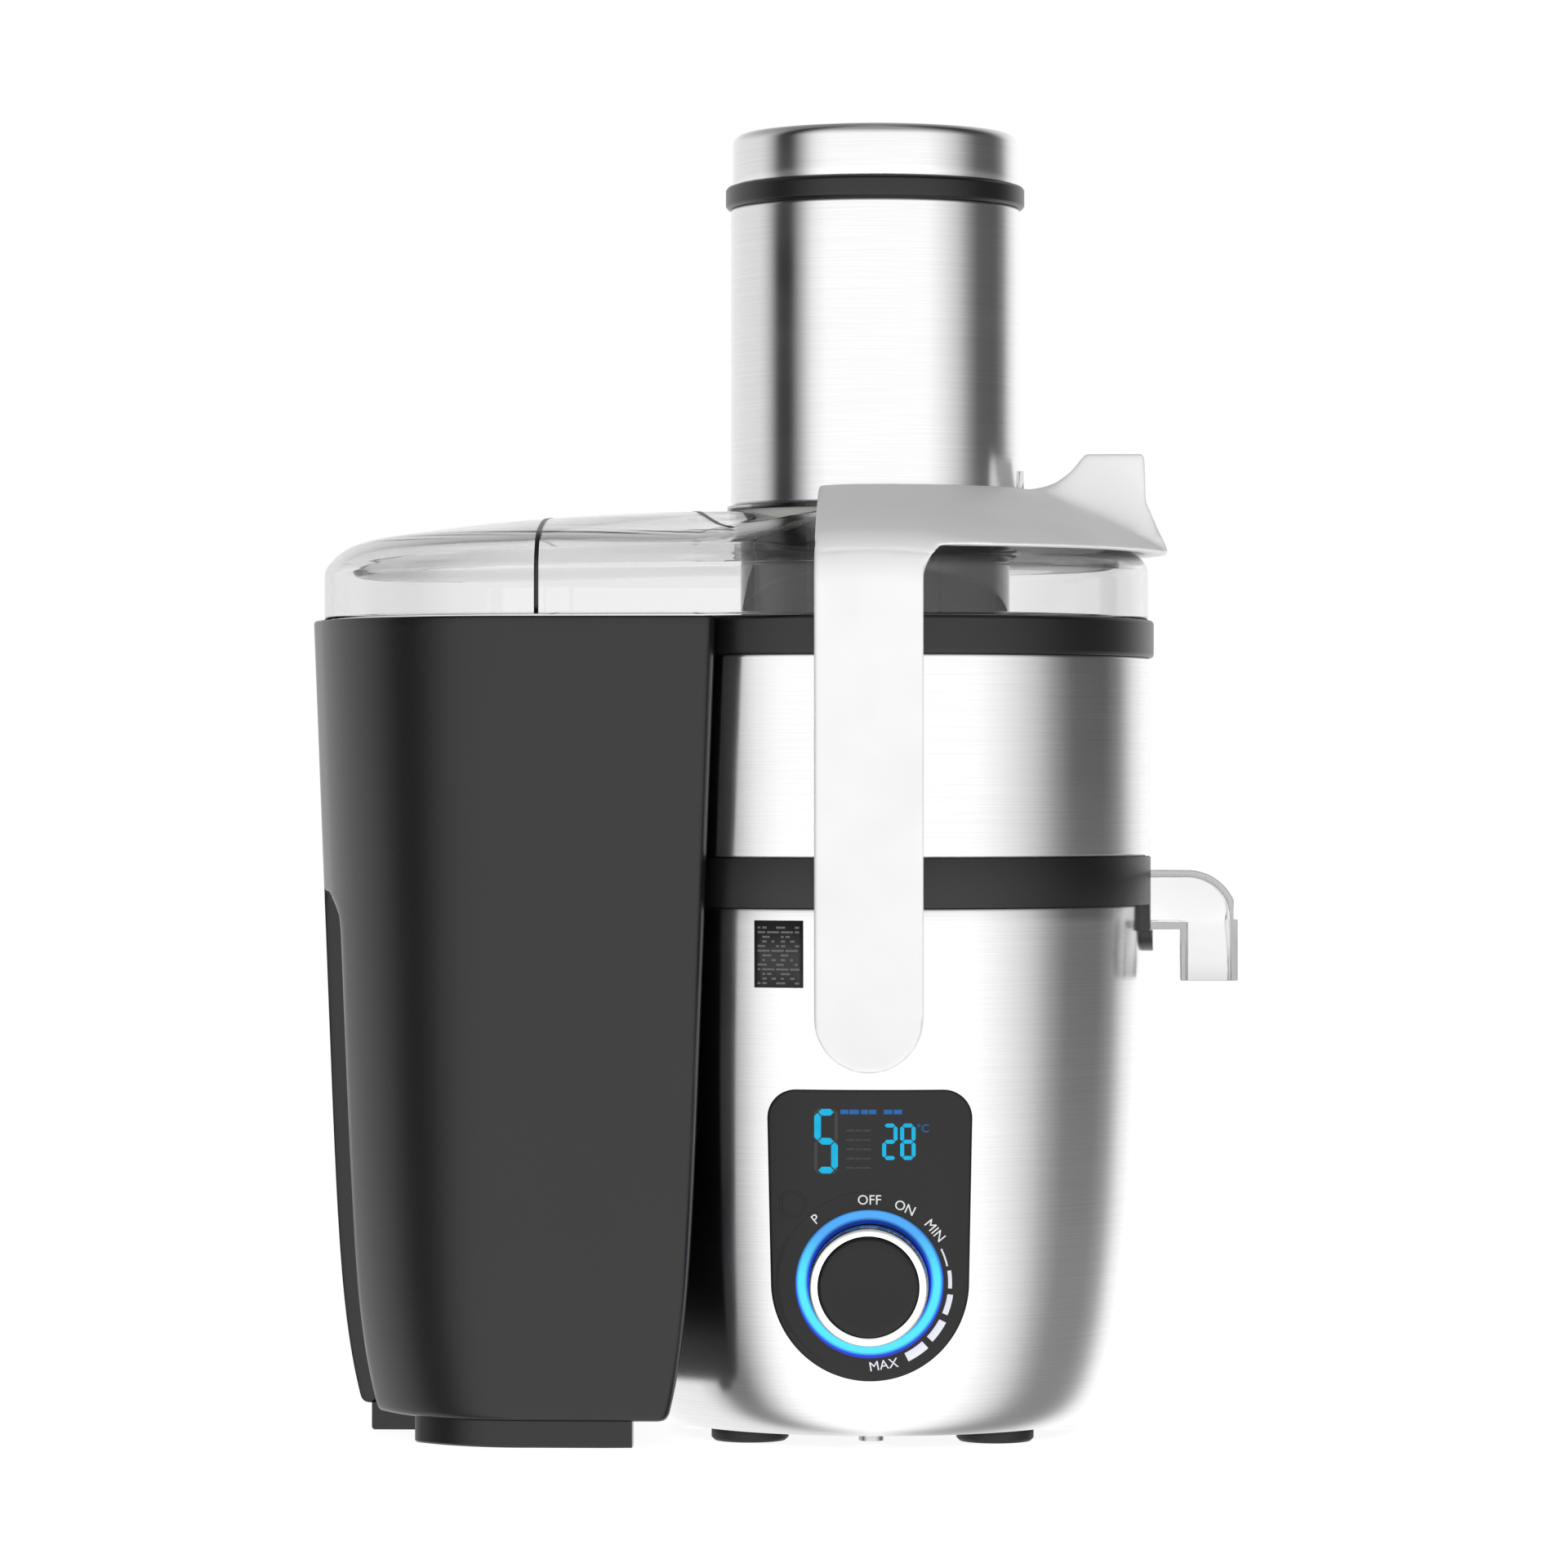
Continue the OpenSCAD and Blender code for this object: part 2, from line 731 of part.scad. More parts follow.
module arm_leg() {
    half = leg_w / 2;
    translate([0, -leg_in, 0]) rotate([90, 0, 0]) linear_extrude(height = leg_t) union() {
        translate([0, pivot_z]) circle(r = half);
        translate([-half, pivot_z]) square([leg_w, bridge_top - pivot_z]);
        difference() {
            translate([half - 0.1, bridge_low - arm_fillet + 1]) square(arm_fillet + 0.1);
            translate([half + arm_fillet, bridge_low - arm_fillet + 1]) circle(r = arm_fillet);
        }
    }
}

module grip_tab() {
    rotate([90, 0, 0]) translate([0, 0, -15]) linear_extrude(height = 30) polygon([
        [52, 300], [52, 304], [58, 305.5], [63, 309], [68, 315], [87, 315], [87.5, 299.5], [94.5, 284.2], [60, 284.2]]);
}

module locking_arm() {
    color("whitesmoke") on_axis() difference() {
        union() {
            intersection() {
                translate([0, 0, pivot_z]) sphere(r = sphere_out, $fn = 240);
                union() {
                    front_and_rear() arm_leg();
                    intersection() {
                        translate([0, 0, bridge_low]) cylinder(r = bridge_r, h = bridge_top - bridge_low);
                        block([-leg_w / 2, -100, 280], [100, 100, 310]);
                    }
                }
            }
            grip_tab();
        }
        difference() {
            translate([0, 0, pivot_z]) sphere(r = sphere_in, $fn = 240);
            block([-100, -100, 0], [100, -leg_in, 300]);
            block([-100, leg_in, 0], [100, 100, 300]);
        }
        translate([0, 0, 270]) cylinder(r = 48.6, h = 60);
        block([-100, -48.6, 270], [0, 48.6, 330]);
        front_and_rear() bar_y(5, -leg_in - 3, -leg_in + 2, pivot_z);
    }
}

module arm_pivots() {
    color("silver") on_axis() front_and_rear() union() {
        bar_y(5, -leg_in - 3, -69, pivot_z);
        bar_y(11, -leg_in, -leg_in + 2.4, pivot_z);
    }
}

module interlock_cam() {
    color("orange") on_axis() difference() {
        bar_y(8.4, -77, -70.5, pivot_z);
        bar_y(5, -80, -60, pivot_z);
        block([-20, -80, pivot_z + 7], [20, -60, pivot_z + 20]);
    }
}

// ---------- pulp bin ----------

module bin_slice(d, z) {
    translate([0, 0, z]) linear_extrude(height = 0.05) polygon(bin_outline(bin_draft(z) + d));
}

module bin_form(d, low, high) {
    hull() for (z = [low, low + 3, 16, 26, 40, 60, 90, 140, 200, high - 0.05]) bin_slice(d, z);
}

// The space beside the grip rib, in side view, grown by g
module scoop_side(g) {
    polygon([[-220, 176 + g], [-176.8 + g, 174.4 + g], [-172 + g, 170 + g], [-169.8 + g, 163 + g],
        [-169.2 + g, 150], [-168.6 + g, 110], [-165.3 + g, 67], [-158.9 + g, 14], [-157.5 + g, 0], [-220, 0]]);
}

module pulp_bin() {
    rib_half = 13;
    color([0.22, 0.22, 0.22]) on_axis() difference() {
        bin_form(0, bin_low, bin_top);
        difference() {
            bin_form(bin_wall, bin_low + bin_wall, bin_top - 4);
            translate([0, 0, -10]) cylinder(r = 91.5 + bin_wall, h = 400);
            rotate([90, 0, 0]) translate([0, 0, -66]) linear_extrude(height = 132) scoop_side(bin_wall);
        }
        difference() {
            translate([0, 0, bin_top - 4.1]) linear_extrude(height = 10) polygon(bin_outline(6.5));
            translate([0, 0, -10]) cylinder(r = 91.5 + bin_wall, h = 400);
        }
        translate([0, 0, -10]) cylinder(r = 91.5, h = 400);
        front_and_rear() rotate([90, 0, 0]) translate([0, 0, rib_half]) linear_extrude(height = 60) scoop_side(0);
    }
}

module bin_feet() {
    color([0.18, 0.18, 0.18]) on_axis() {
        front_and_rear() block([-141.7, -69.5, 0], [-78, -58, bin_low]);
        block([-162, -12, 0], [-140, 12, bin_low]);
    }
}

rubber_feet();
base_plate();
plate_screws();
housing_shell();
top_deck();
control_panel();
knob_seat();
light_ring();
display_module();
control_board();
selector_switch();
power_board();
cord_gland();
side_label();
interlock_switch();
pivot_bushes();
motor_dampers();
damper_screws();
lower_bracket();
upper_bracket();
motor_bolts();
lower_bearing();
upper_bearing();
stator_core();
field_coils();
brush_holders();
carbon_brushes();
shaft_seal();
motor_shaft();
rotor_core();
rotor_windings();
commutator();
cooling_fan();
drive_coupling();
filter_hub();
shredder_disc();
shredder_teeth();
filter_basket();
basket_rim();
juice_bowl();
juice_spout();
bowl_cover();
bowl_rim();
bowl_seal();
lid_cover();
lid_ribs();
feed_chute();
chute_sleeve();
pusher_body();
pusher_ring();
pusher_cap();
knob_cap();
knob_ring();
knob_spindle();
locking_arm();
arm_pivots();
interlock_cam();
pulp_bin();
bin_feet();
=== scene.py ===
"""The centrifugal juicer's looks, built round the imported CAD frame.

Shapes are worked out in millimetres from the motor axis (x = 0 at the axis, z = 0 on the table)
and are put into the frame, in metres, by place().
"""

import json
import math

import bpy
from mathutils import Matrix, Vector


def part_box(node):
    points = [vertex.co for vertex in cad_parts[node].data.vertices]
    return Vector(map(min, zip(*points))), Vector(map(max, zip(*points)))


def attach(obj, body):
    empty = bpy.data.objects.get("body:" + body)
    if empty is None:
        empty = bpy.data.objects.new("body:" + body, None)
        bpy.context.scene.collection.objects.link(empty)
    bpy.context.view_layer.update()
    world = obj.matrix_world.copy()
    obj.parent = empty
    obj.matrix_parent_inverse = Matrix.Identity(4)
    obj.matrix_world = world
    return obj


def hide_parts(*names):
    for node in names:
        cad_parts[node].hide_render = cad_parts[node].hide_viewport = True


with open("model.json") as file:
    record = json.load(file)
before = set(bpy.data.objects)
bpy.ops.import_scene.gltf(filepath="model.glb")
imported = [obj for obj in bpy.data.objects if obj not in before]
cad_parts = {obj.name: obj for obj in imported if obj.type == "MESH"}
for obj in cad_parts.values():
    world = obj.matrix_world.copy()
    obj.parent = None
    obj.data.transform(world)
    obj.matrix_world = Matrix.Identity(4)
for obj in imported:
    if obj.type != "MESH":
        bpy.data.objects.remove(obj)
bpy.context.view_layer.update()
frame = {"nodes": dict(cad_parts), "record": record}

MM = 0.001
sleeve_low, sleeve_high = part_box("chute_sleeve")
AXIS_X = (sleeve_low.x + sleeve_high.x) / 2
ROUND = 224                      # segments of the large turned pieces

# ---------------------------------------------------------------- sizes, in millimetres
# Motor base: the housing, the deck over it, and the bowl's steel cover with its rim
HOUSING_R = 87.0
HOUSING_TOP = 170.0
SHEET = 1.2                      # thickness of the steel sheet
DECK_TOP = 185.5
COVER_R = 89.0
COVER_TOP = 249.5
RIM_R = 90.3
RIM_TOP = 261.5
# Control panel and dial: how wide, how high and how proud the panel is, and the dial's centre
PANEL_W = 64.0
PANEL_TOP = 113.5
PANEL_PROUD = 0.9
DIAL_Z = 53.0
# Chute, and the steel cap of the pusher in it
SLEEVE_R = 46.8
SLEEVE_LOW = 298.55
CHUTE_TOP = 395.0
CAP_TOP = 419.0
# Lid: its lower edge, the flat of its crown, and its round end over the bowl
LID_LOW = 261.8
LID_TOP = 297.0
LID_R = 88.4
LID_WALL = 2.4
# Pulp bin: its far end, the side by the bowl, half its depth, and the length of its round far end
BIN_END = 182.0
BIN_NEAR = 48.2
BIN_HALF = 88.0
BIN_LONG = 72.0
BIN_TOP = 261.3
BIN_LOW = 8.5
BIN_WALL = 2.5


def place(x, y, z):
    """A point of the frame, in metres, from millimetres about the motor axis."""
    return (x * MM + AXIS_X, y * MM, z * MM)


# ---------------------------------------------------------------- geometry helpers
def new_object(name, verts, faces, smooth=True):
    """A mesh object from points in millimetres about the motor axis."""
    mesh = bpy.data.meshes.new(name)
    mesh.from_pydata([place(*v) for v in verts], [], faces)
    mesh.validate()
    mesh.update()
    obj = bpy.data.objects.new(name, mesh)
    bpy.context.scene.collection.objects.link(obj)
    if smooth:
        smooth_by_angle(obj)
    return obj


def thickened(obj, thickness):
    """Gives a sheet a thickness in millimetres."""
    wall = obj.modifiers.new("wall", "SOLIDIFY")
    wall.thickness = thickness * MM
    return wall


def smooth_by_angle(obj, degrees=32):
    """Smooth shading that keeps edges sharper than the angle."""
    mesh = obj.data
    mesh.polygons.foreach_set("use_smooth", [True] * len(mesh.polygons))
    mesh.set_sharp_from_angle(angle=math.radians(degrees))


def dress(obj, body, material, replaces=()):
    """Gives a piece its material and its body."""
    obj.data.materials.clear()
    obj.data.materials.append(material)
    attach(obj, body)
    if replaces:
        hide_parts(*replaces)
    return obj


def rounded(points, steps=4):
    """A closed outline from (a, b, radius) corners, each corner turned into an arc."""
    out = []
    count = len(points)
    for i, (a, b, radius) in enumerate(points):
        here = Vector((a, b))
        before = Vector(points[i - 1][:2]) - here
        after = Vector(points[(i + 1) % count][:2]) - here
        if radius <= 0 or before.length < 1e-6 or after.length < 1e-6:
            out.append((a, b))
            continue
        angle = before.angle(after)
        if angle > math.radians(176):
            out.append((a, b))
            continue
        cut = min(radius / math.tan(angle / 2), before.length * 0.49, after.length * 0.49)
        start = here + before.normalized() * cut
        end = here + after.normalized() * cut
        for k in range(steps + 1):
            t = k / steps
            point = start * (1 - t) ** 2 + here * 2 * t * (1 - t) + end * t ** 2
            out.append((point.x, point.y))
    return out


def skin(rows, closed_rows=False):
    """Quads between rows of points of equal length; each row is a closed loop."""
    width = len(rows[0])
    verts = [p for row in rows for p in row]
    faces = []
    last = len(rows) if closed_rows else len(rows) - 1
    for i in range(last):
        j = (i + 1) % len(rows)
        for k in range(width):
            m = (k + 1) % width
            faces.append((i * width + k, i * width + m, j * width + m, j * width + k))
    return verts, faces


def about_z(r, h, c, s):
    """Turns an outline of (radius, height) about the motor axis; c and s are the turn's cosine and sine."""
    return (r * c, r * s, h)


def about_y(centre_z):
    """Turns an outline of (radius, distance in front of the axis) about a line along Y."""
    return lambda r, h, c, s: (r * c, -h, centre_z + r * s)


def turned(profile, segments=ROUND, turn=about_z):
    """A ring turned from a closed (radius, height) outline."""
    rows = []
    for i in range(segments):
        angle = 2 * math.pi * i / segments
        c, s = math.cos(angle), math.sin(angle)
        rows.append([turn(r, h, c, s) for r, h in profile])
    return skin(rows, closed_rows=True)


def turned_solid(profile, segments=ROUND, turn=about_z):
    """A solid of revolution from an open (radius, height) outline that starts and ends on the axis."""
    inner = profile[1:-1]
    angles = [2 * math.pi * i / segments for i in range(segments)]
    rows = [[turn(r, h, math.cos(a), math.sin(a)) for a in angles] for r, h in inner]
    verts, faces = skin(rows)
    first = len(verts)
    verts.append(turn(0, profile[0][1], 1, 0))
    verts.append(turn(0, profile[-1][1], 1, 0))
    base = (len(inner) - 1) * segments
    for k in range(segments):
        m = (k + 1) % segments
        faces.append((first, m, k))
        faces.append((first + 1, base + k, base + m))
    return verts, faces


def joined(parts):
    """Several (verts, faces) pairs as one."""
    verts, faces = [], []
    for part_verts, part_faces in parts:
        shift = len(verts)
        verts.extend(part_verts)
        faces.extend(tuple(i + shift for i in face) for face in part_faces)
    return verts, faces


def lerp(a, b, t):
    """The number a share of the way from a to b."""
    return a + (b - a) * t


def points_between(a, b, count):
    """The points that part the line between two points into equal steps, without its ends."""
    return [(lerp(a[0], b[0], i / count), lerp(a[1], b[1], i / count)) for i in range(1, count)]


def ribbon(pairs):
    """A strip of quads between pairs of edge points."""
    faces = [(2 * i, 2 * i + 1, 2 * i + 3, 2 * i + 2) for i in range(len(pairs) - 1)]
    return [point for pair in pairs for point in pair], faces


def rectangle(left, low, width, height):
    """A flat rectangle."""
    right, high = left + width, low + height
    return [(left, low), (right, low), (right, high), (left, high)], [(0, 1, 2, 3)]


def ease(t):
    """A smooth step from 0 to 1."""
    t = min(max(t, 0.0), 1.0)
    return t * t * (3 - 2 * t)


def along(table, value):
    """Smooth interpolation through (place, height) pairs."""
    if value <= table[0][0]:
        return table[0][1]
    for i in range(len(table) - 1):
        (a, fa), (b, fb) = table[i], table[i + 1]
        if value <= b:
            t = (value - a) / (b - a)
            slope = (fb - fa) / (b - a)
            before = (fa - table[i - 1][1]) / (a - table[i - 1][0]) if i else slope
            after = (table[i + 2][1] - fb) / (table[i + 2][0] - b) if i + 2 < len(table) else slope
            ma = 2 * before * slope / (before + slope) if before * slope > 0 else 0.0
            mb = 2 * after * slope / (after + slope) if after * slope > 0 else 0.0
            h = b - a
            return ((2 * t ** 3 - 3 * t ** 2 + 1) * fa + (t ** 3 - 2 * t ** 2 + t) * h * ma
                    + (-2 * t ** 3 + 3 * t ** 2) * fb + (t ** 3 - t ** 2) * h * mb)
    return table[-1][1]


# ---------------------------------------------------------------- material helpers
class Tree:
    """Short calls for building a node tree."""

    def __init__(self, tree):
        self.tree = tree
        self.tree.nodes.clear()

    def node(self, kind, **settings):
        """A new node with its settings."""
        made = self.tree.nodes.new(kind)
        for key, value in settings.items():
            setattr(made, key, value)
        return made

    def put(self, value, socket):
        """Gives an input its value: a link from another node's output, or a constant."""
        if isinstance(value, bpy.types.NodeSocket):
            self.tree.links.new(value, socket)
        else:
            socket.default_value = value

    def maths(self, operation, a, b=None):
        """An operation on one number or two."""
        made = self.node("ShaderNodeMath", operation=operation)
        self.put(a, made.inputs[0])
        if b is not None:
            self.put(b, made.inputs[1])
        return made.outputs[0]

    def vector(self, operation, a, b=None):
        """An operation on one vector or two."""
        made = self.node("ShaderNodeVectorMath", operation=operation)
        self.put(a, made.inputs[0])
        if b is not None:
            self.put(b, made.inputs[1])
        return made.outputs["Value" if operation == "LENGTH" else "Vector"]

    def split(self, vector):
        """The three numbers of a vector."""
        made = self.node("ShaderNodeSeparateXYZ")
        self.put(vector, made.inputs[0])
        return made.outputs["X"], made.outputs["Y"], made.outputs["Z"]

    def spread(self, value, low, high, start=0.3, stop=0.7):
        """A number that runs from low to high while the value runs from start to stop."""
        made = self.node("ShaderNodeMapRange")
        self.put(value, made.inputs["Value"])
        self.put(start, made.inputs["From Min"])
        self.put(stop, made.inputs["From Max"])
        self.put(low, made.inputs["To Min"])
        self.put(high, made.inputs["To Max"])
        return made.outputs["Result"]

    def mix(self, factor, a, b, blend="MIX"):
        """Two colours mixed; each is a constant or another node's output."""
        made = self.node("ShaderNodeMix", data_type="RGBA", blend_type=blend)
        self.put(factor, made.inputs["Factor"])
        self.put((*a, 1) if isinstance(a, tuple) else a, made.inputs["A"])
        self.put((*b, 1) if isinstance(b, tuple) else b, made.inputs["B"])
        return made.outputs["Result"]


MATERIALS = {}                   # every material by its name; a CAD node's slot is looked up here


class Nodes(Tree):
    """One material's node tree, round a Principled shader."""

    def __init__(self, name):
        self.material = bpy.data.materials.new(name)
        self.material.use_nodes = True
        MATERIALS[name] = self.material
        super().__init__(self.material.node_tree)
        self.output = self.node("ShaderNodeOutputMaterial")
        self.shader = self.node("ShaderNodeBsdfPrincipled")
        self.put(self.shader.outputs[0], self.output.inputs["Surface"])

    def set(self, **values):
        """Constants on the shader, by its inputs' names."""
        for key, value in values.items():
            self.put(value, self.shader.inputs[key.replace("_", " ").title().replace("Ior", "IOR")])

    def feed(self, value, socket):
        """A link to one of the shader's inputs."""
        self.put(value, self.shader.inputs[socket])

    def here(self):
        """The point's place on the object."""
        return self.node("ShaderNodeTexCoord").outputs["Object"]

    def coords(self, scale=(1, 1, 1)):
        """The point's place, scaled."""
        return self.vector("MULTIPLY", self.here(), scale)

    def noise(self, vector, scale=1.0, detail=3.0, roughness=0.5):
        made = self.node("ShaderNodeTexNoise")
        self.put(vector, made.inputs["Vector"])
        self.put(scale, made.inputs["Scale"])
        self.put(detail, made.inputs["Detail"])
        self.put(roughness, made.inputs["Roughness"])
        return made.outputs["Fac"]

    def bump(self, height, strength, distance):
        made = self.node("ShaderNodeBump")
        self.put(strength, made.inputs["Strength"])
        self.put(distance, made.inputs["Distance"])
        self.put(height, made.inputs["Height"])
        self.feed(made.outputs[0], "Normal")


def brushed_steel(name, light=0.82, dark=0.74, rough=0.2):
    """Steel brushed round the vertical axis: fine level streaks, with a highlight that spreads upright."""
    m = Nodes(name)
    where = m.here()
    x, y, z = m.split(where)
    level = m.vector("MULTIPLY", where, (1, 1, 0))
    reach = m.vector("LENGTH", m.vector("SUBTRACT", level, (AXIS_X, 0, 0)))
    sheet = m.node("ShaderNodeCombineXYZ")
    m.put(x, sheet.inputs["X"])
    m.put(y, sheet.inputs["Y"])
    m.put(m.maths("ADD", z, reach), sheet.inputs["Z"])
    streaks = m.noise(m.vector("MULTIPLY", sheet.outputs[0], (24, 24, 3200)), 1.0, 5.0, 0.62)
    slow = m.noise(m.coords((9, 9, 30)), 1.0, 2.0)
    trough = (dark, dark, dark * 1.012)
    crest = (light, light, light * 1.008)
    m.feed(m.mix(m.spread(streaks, 0, 1), trough, crest), "Base Color")
    m.feed(m.spread(slow, rough - 0.03, rough + 0.04), "Roughness")
    m.bump(streaks, 0.07, 0.0001)
    m.set(metallic=1.0, anisotropic=0.6, anisotropic_rotation=0.25)
    m.feed(m.node("ShaderNodeTangent", direction_type="RADIAL", axis="Z").outputs[0], "Tangent")
    return m.material


def moulded(name, colour, rough=0.4, grain=0.12, size=2600, specular=0.5):
    """Moulded plastic: an even colour with a fine spark-eroded grain."""
    m = Nodes(name)
    fine = m.noise(m.coords(), size, 4.0, 0.55)
    broad = m.noise(m.coords(), 34, 2.0)
    lighter = tuple(min(1.0, c * 1.07 + 0.0006) for c in colour)
    m.feed(m.mix(m.spread(broad, 0, 1), colour, lighter), "Base Color")
    m.feed(m.spread(fine, rough - 0.04, rough + 0.05), "Roughness")
    m.bump(fine, grain, 0.00006)
    m.set(specular_ior_level=specular)
    return m.material


def clear_plastic(name, tint=(0.99, 0.99, 0.99), rough=0.015, density=80, ior=1.46):
    """Clear polished plastic with faint flow marks, a little greyer where the light runs along it."""
    m = Nodes(name)
    flow = m.noise(m.coords((14, 14, 30)), 1.0, 2.0)
    m.feed(m.mix(m.spread(flow, 0, 1), tint, tuple(c * 0.985 for c in tint)), "Base Color")
    m.feed(m.spread(flow, rough * 0.6, rough * 1.6), "Roughness")
    m.set(transmission_weight=1.0, ior=ior)
    depth = m.node("ShaderNodeVolumeAbsorption")
    m.put((0.6, 0.6, 0.6, 1), depth.inputs["Color"])
    m.put(density, depth.inputs["Density"])
    m.put(depth.outputs[0], m.output.inputs["Volume"])
    return m.material


def plain_metal(name, colour, rough=0.25, marks=400):
    """Turned or plated metal with fine marks."""
    m = Nodes(name)
    fine = m.noise(m.coords((60, 60, marks * 6)), 1.0, 3.0)
    m.feed(m.mix(m.spread(fine, 0, 1), colour, tuple(min(1.0, c * 1.12) for c in colour)), "Base Color")
    m.feed(m.spread(fine, rough - 0.05, rough + 0.06), "Roughness")
    m.bump(fine, 0.05, 0.0001)
    m.set(metallic=1.0)
    return m.material


def glowing(name, colour, strength, core=None):
    """A lit surface, seen through a faintly uneven diffuser."""
    m = Nodes(name)
    uneven = m.noise(m.coords(), 260, 2.0)
    far = core or tuple(min(1.0, c * 1.15) for c in colour)
    m.feed(m.mix(m.spread(uneven, 0, 1), colour, far), "Emission Color")
    m.set(base_color=(0.01, 0.01, 0.012, 1), roughness=0.6, specular_ior_level=0.1)
    m.set(emission_strength=strength)
    return m.material


def light_ring_material():
    """Blue light that is paler along the middle of the ring and towards the bottom."""
    middle_r = 21.1
    to_mm = 1 / MM
    m = Nodes("lit_ring")
    centred = m.vector("SUBTRACT", m.here(), place(0, 0, DIAL_Z + 0.7))
    flat = m.vector("MULTIPLY", centred, (to_mm, 0, to_mm))
    low = m.spread(m.split(flat)[2], 1, 0, 2, 15)
    off_middle = m.maths("ABSOLUTE", m.maths("SUBTRACT", m.vector("LENGTH", flat), middle_r))
    edge = m.mix(low, (0.003, 0.03, 0.27), (0.02, 0.05, 0.72))
    tube = m.mix(low, (0.085, 0.42, 0.95), (0.1, 0.84, 0.98))
    m.feed(m.mix(m.spread(off_middle, 1, 0, 0.8, 1.9), edge, tube), "Emission Color")
    m.set(base_color=(0.01, 0.01, 0.03, 1), roughness=0.5, specular_ior_level=0.1, emission_strength=1.0)
    return m.material


STEEL = brushed_steel("brushed_steel")
BLACK = moulded("black_plastic", (0.0045, 0.0045, 0.0047), rough=0.34)
PANEL = moulded("panel_black", (0.0035, 0.0035, 0.0037), rough=0.34, grain=0.03, specular=0.38)
BIN = moulded("bin_black", (0.0035, 0.0035, 0.0036), rough=0.3, grain=0.06)
moulded("foot_rubber", (0.008, 0.008, 0.008), rough=0.6, grain=0.3)
plain_metal("screw_steel", (0.55, 0.55, 0.56), 0.3)
plain_metal("machined_steel", (0.6, 0.6, 0.61), 0.22)
plain_metal("cast_alloy", (0.42, 0.42, 0.43), 0.45)
CLEAR = clear_plastic("clear_plastic")
# Painted shade: a grey plastic that barely bends light, for the stripe along the lid's shoulder
SHOULDER_SHADE = clear_plastic("clear_shoulder_painted_shade", density=130, ior=1.02)
moulded("circuit_board", (0.012, 0.09, 0.035), rough=0.3, grain=0.2, size=700)
moulded("display_glass", (0.008, 0.008, 0.01), rough=0.12, grain=0.0)
plain_metal("lamination_steel", (0.2, 0.2, 0.21), 0.5)
plain_metal("copper_winding", (0.62, 0.28, 0.13), 0.35)
plain_metal("brass", (0.72, 0.53, 0.24), 0.3)
moulded("carbon", (0.02, 0.02, 0.02), rough=0.7, grain=0.3)
moulded("seal_rubber", (0.55, 0.55, 0.54), rough=0.55)
ARM = moulded("arm_plastic", (0.89, 0.89, 0.89), rough=0.4, grain=0.04)
TRIM = plain_metal("knob_trim", (0.94, 0.94, 0.94), 0.2)
PUSHER = moulded("pusher_grey", (0.075, 0.075, 0.078), rough=0.38, grain=0.03)
NYLON = moulded("white_nylon", (0.75, 0.75, 0.72), rough=0.45)
PRINT = moulded("legend_print", (0.95, 0.95, 0.95), rough=0.5, grain=0.0)
LINE = moulded("moulded_line", (0.0015, 0.0015, 0.0015), rough=0.6, grain=0.0)
DIGITS = glowing("display_digits", (0.0, 0.42, 0.72), 1.0, (0.01, 0.5, 0.8))
DIM_TEXT = glowing("display_dashes", (0.02, 0.16, 0.5), 0.75)
GHOST = moulded("display_ghost", (0.022, 0.022, 0.024), rough=0.4, grain=0.0)
LABEL = moulded("label_dark", (0.02, 0.02, 0.02), rough=0.5, grain=0.0)
LABEL_PRINT = moulded("label_grey", (0.13, 0.13, 0.13), rough=0.5, grain=0.0)
RING_LIGHT = light_ring_material()
MATERIALS["light_guide"] = RING_LIGHT


# ---------------------------------------------------------------- camera and stage
def make_camera():
    """A level camera with a long lens, a little to the right of the machine's front."""
    distance = 2.12
    height = 0.2088
    turn = math.radians(1.2)
    aside = math.radians(0.798508)      # the machine stands right of the picture's middle
    data = bpy.data.cameras.new("camera")
    data.sensor_width = 36
    data.lens = 150
    data.clip_end = 50
    camera = bpy.data.objects.new("camera", data)
    camera.location = (AXIS_X + distance * math.sin(turn), -distance * math.cos(turn), height)
    camera.rotation_euler = (math.radians(90), 0, turn + aside)
    bpy.context.scene.collection.objects.link(camera)
    bpy.context.scene.camera = camera


# The studio's light by bearing: degrees from the front, positive to the right, and brightness
LIGHT_BANDS = [(-180, 0.9), (-150, 0.82), (-102, 0.76), (-91, 0.46), (-83, 0.03), (-69, 0.02), (-61, 0.38),
               (-50, 0.92), (-38, 1.1), (44, 1.1), (58, 0.87), (71, 0.6), (81, 0.28), (91, 0.1), (113, 0.09),
               (124, 0.22), (138, 0.78), (152, 0.98), (180, 0.9)]


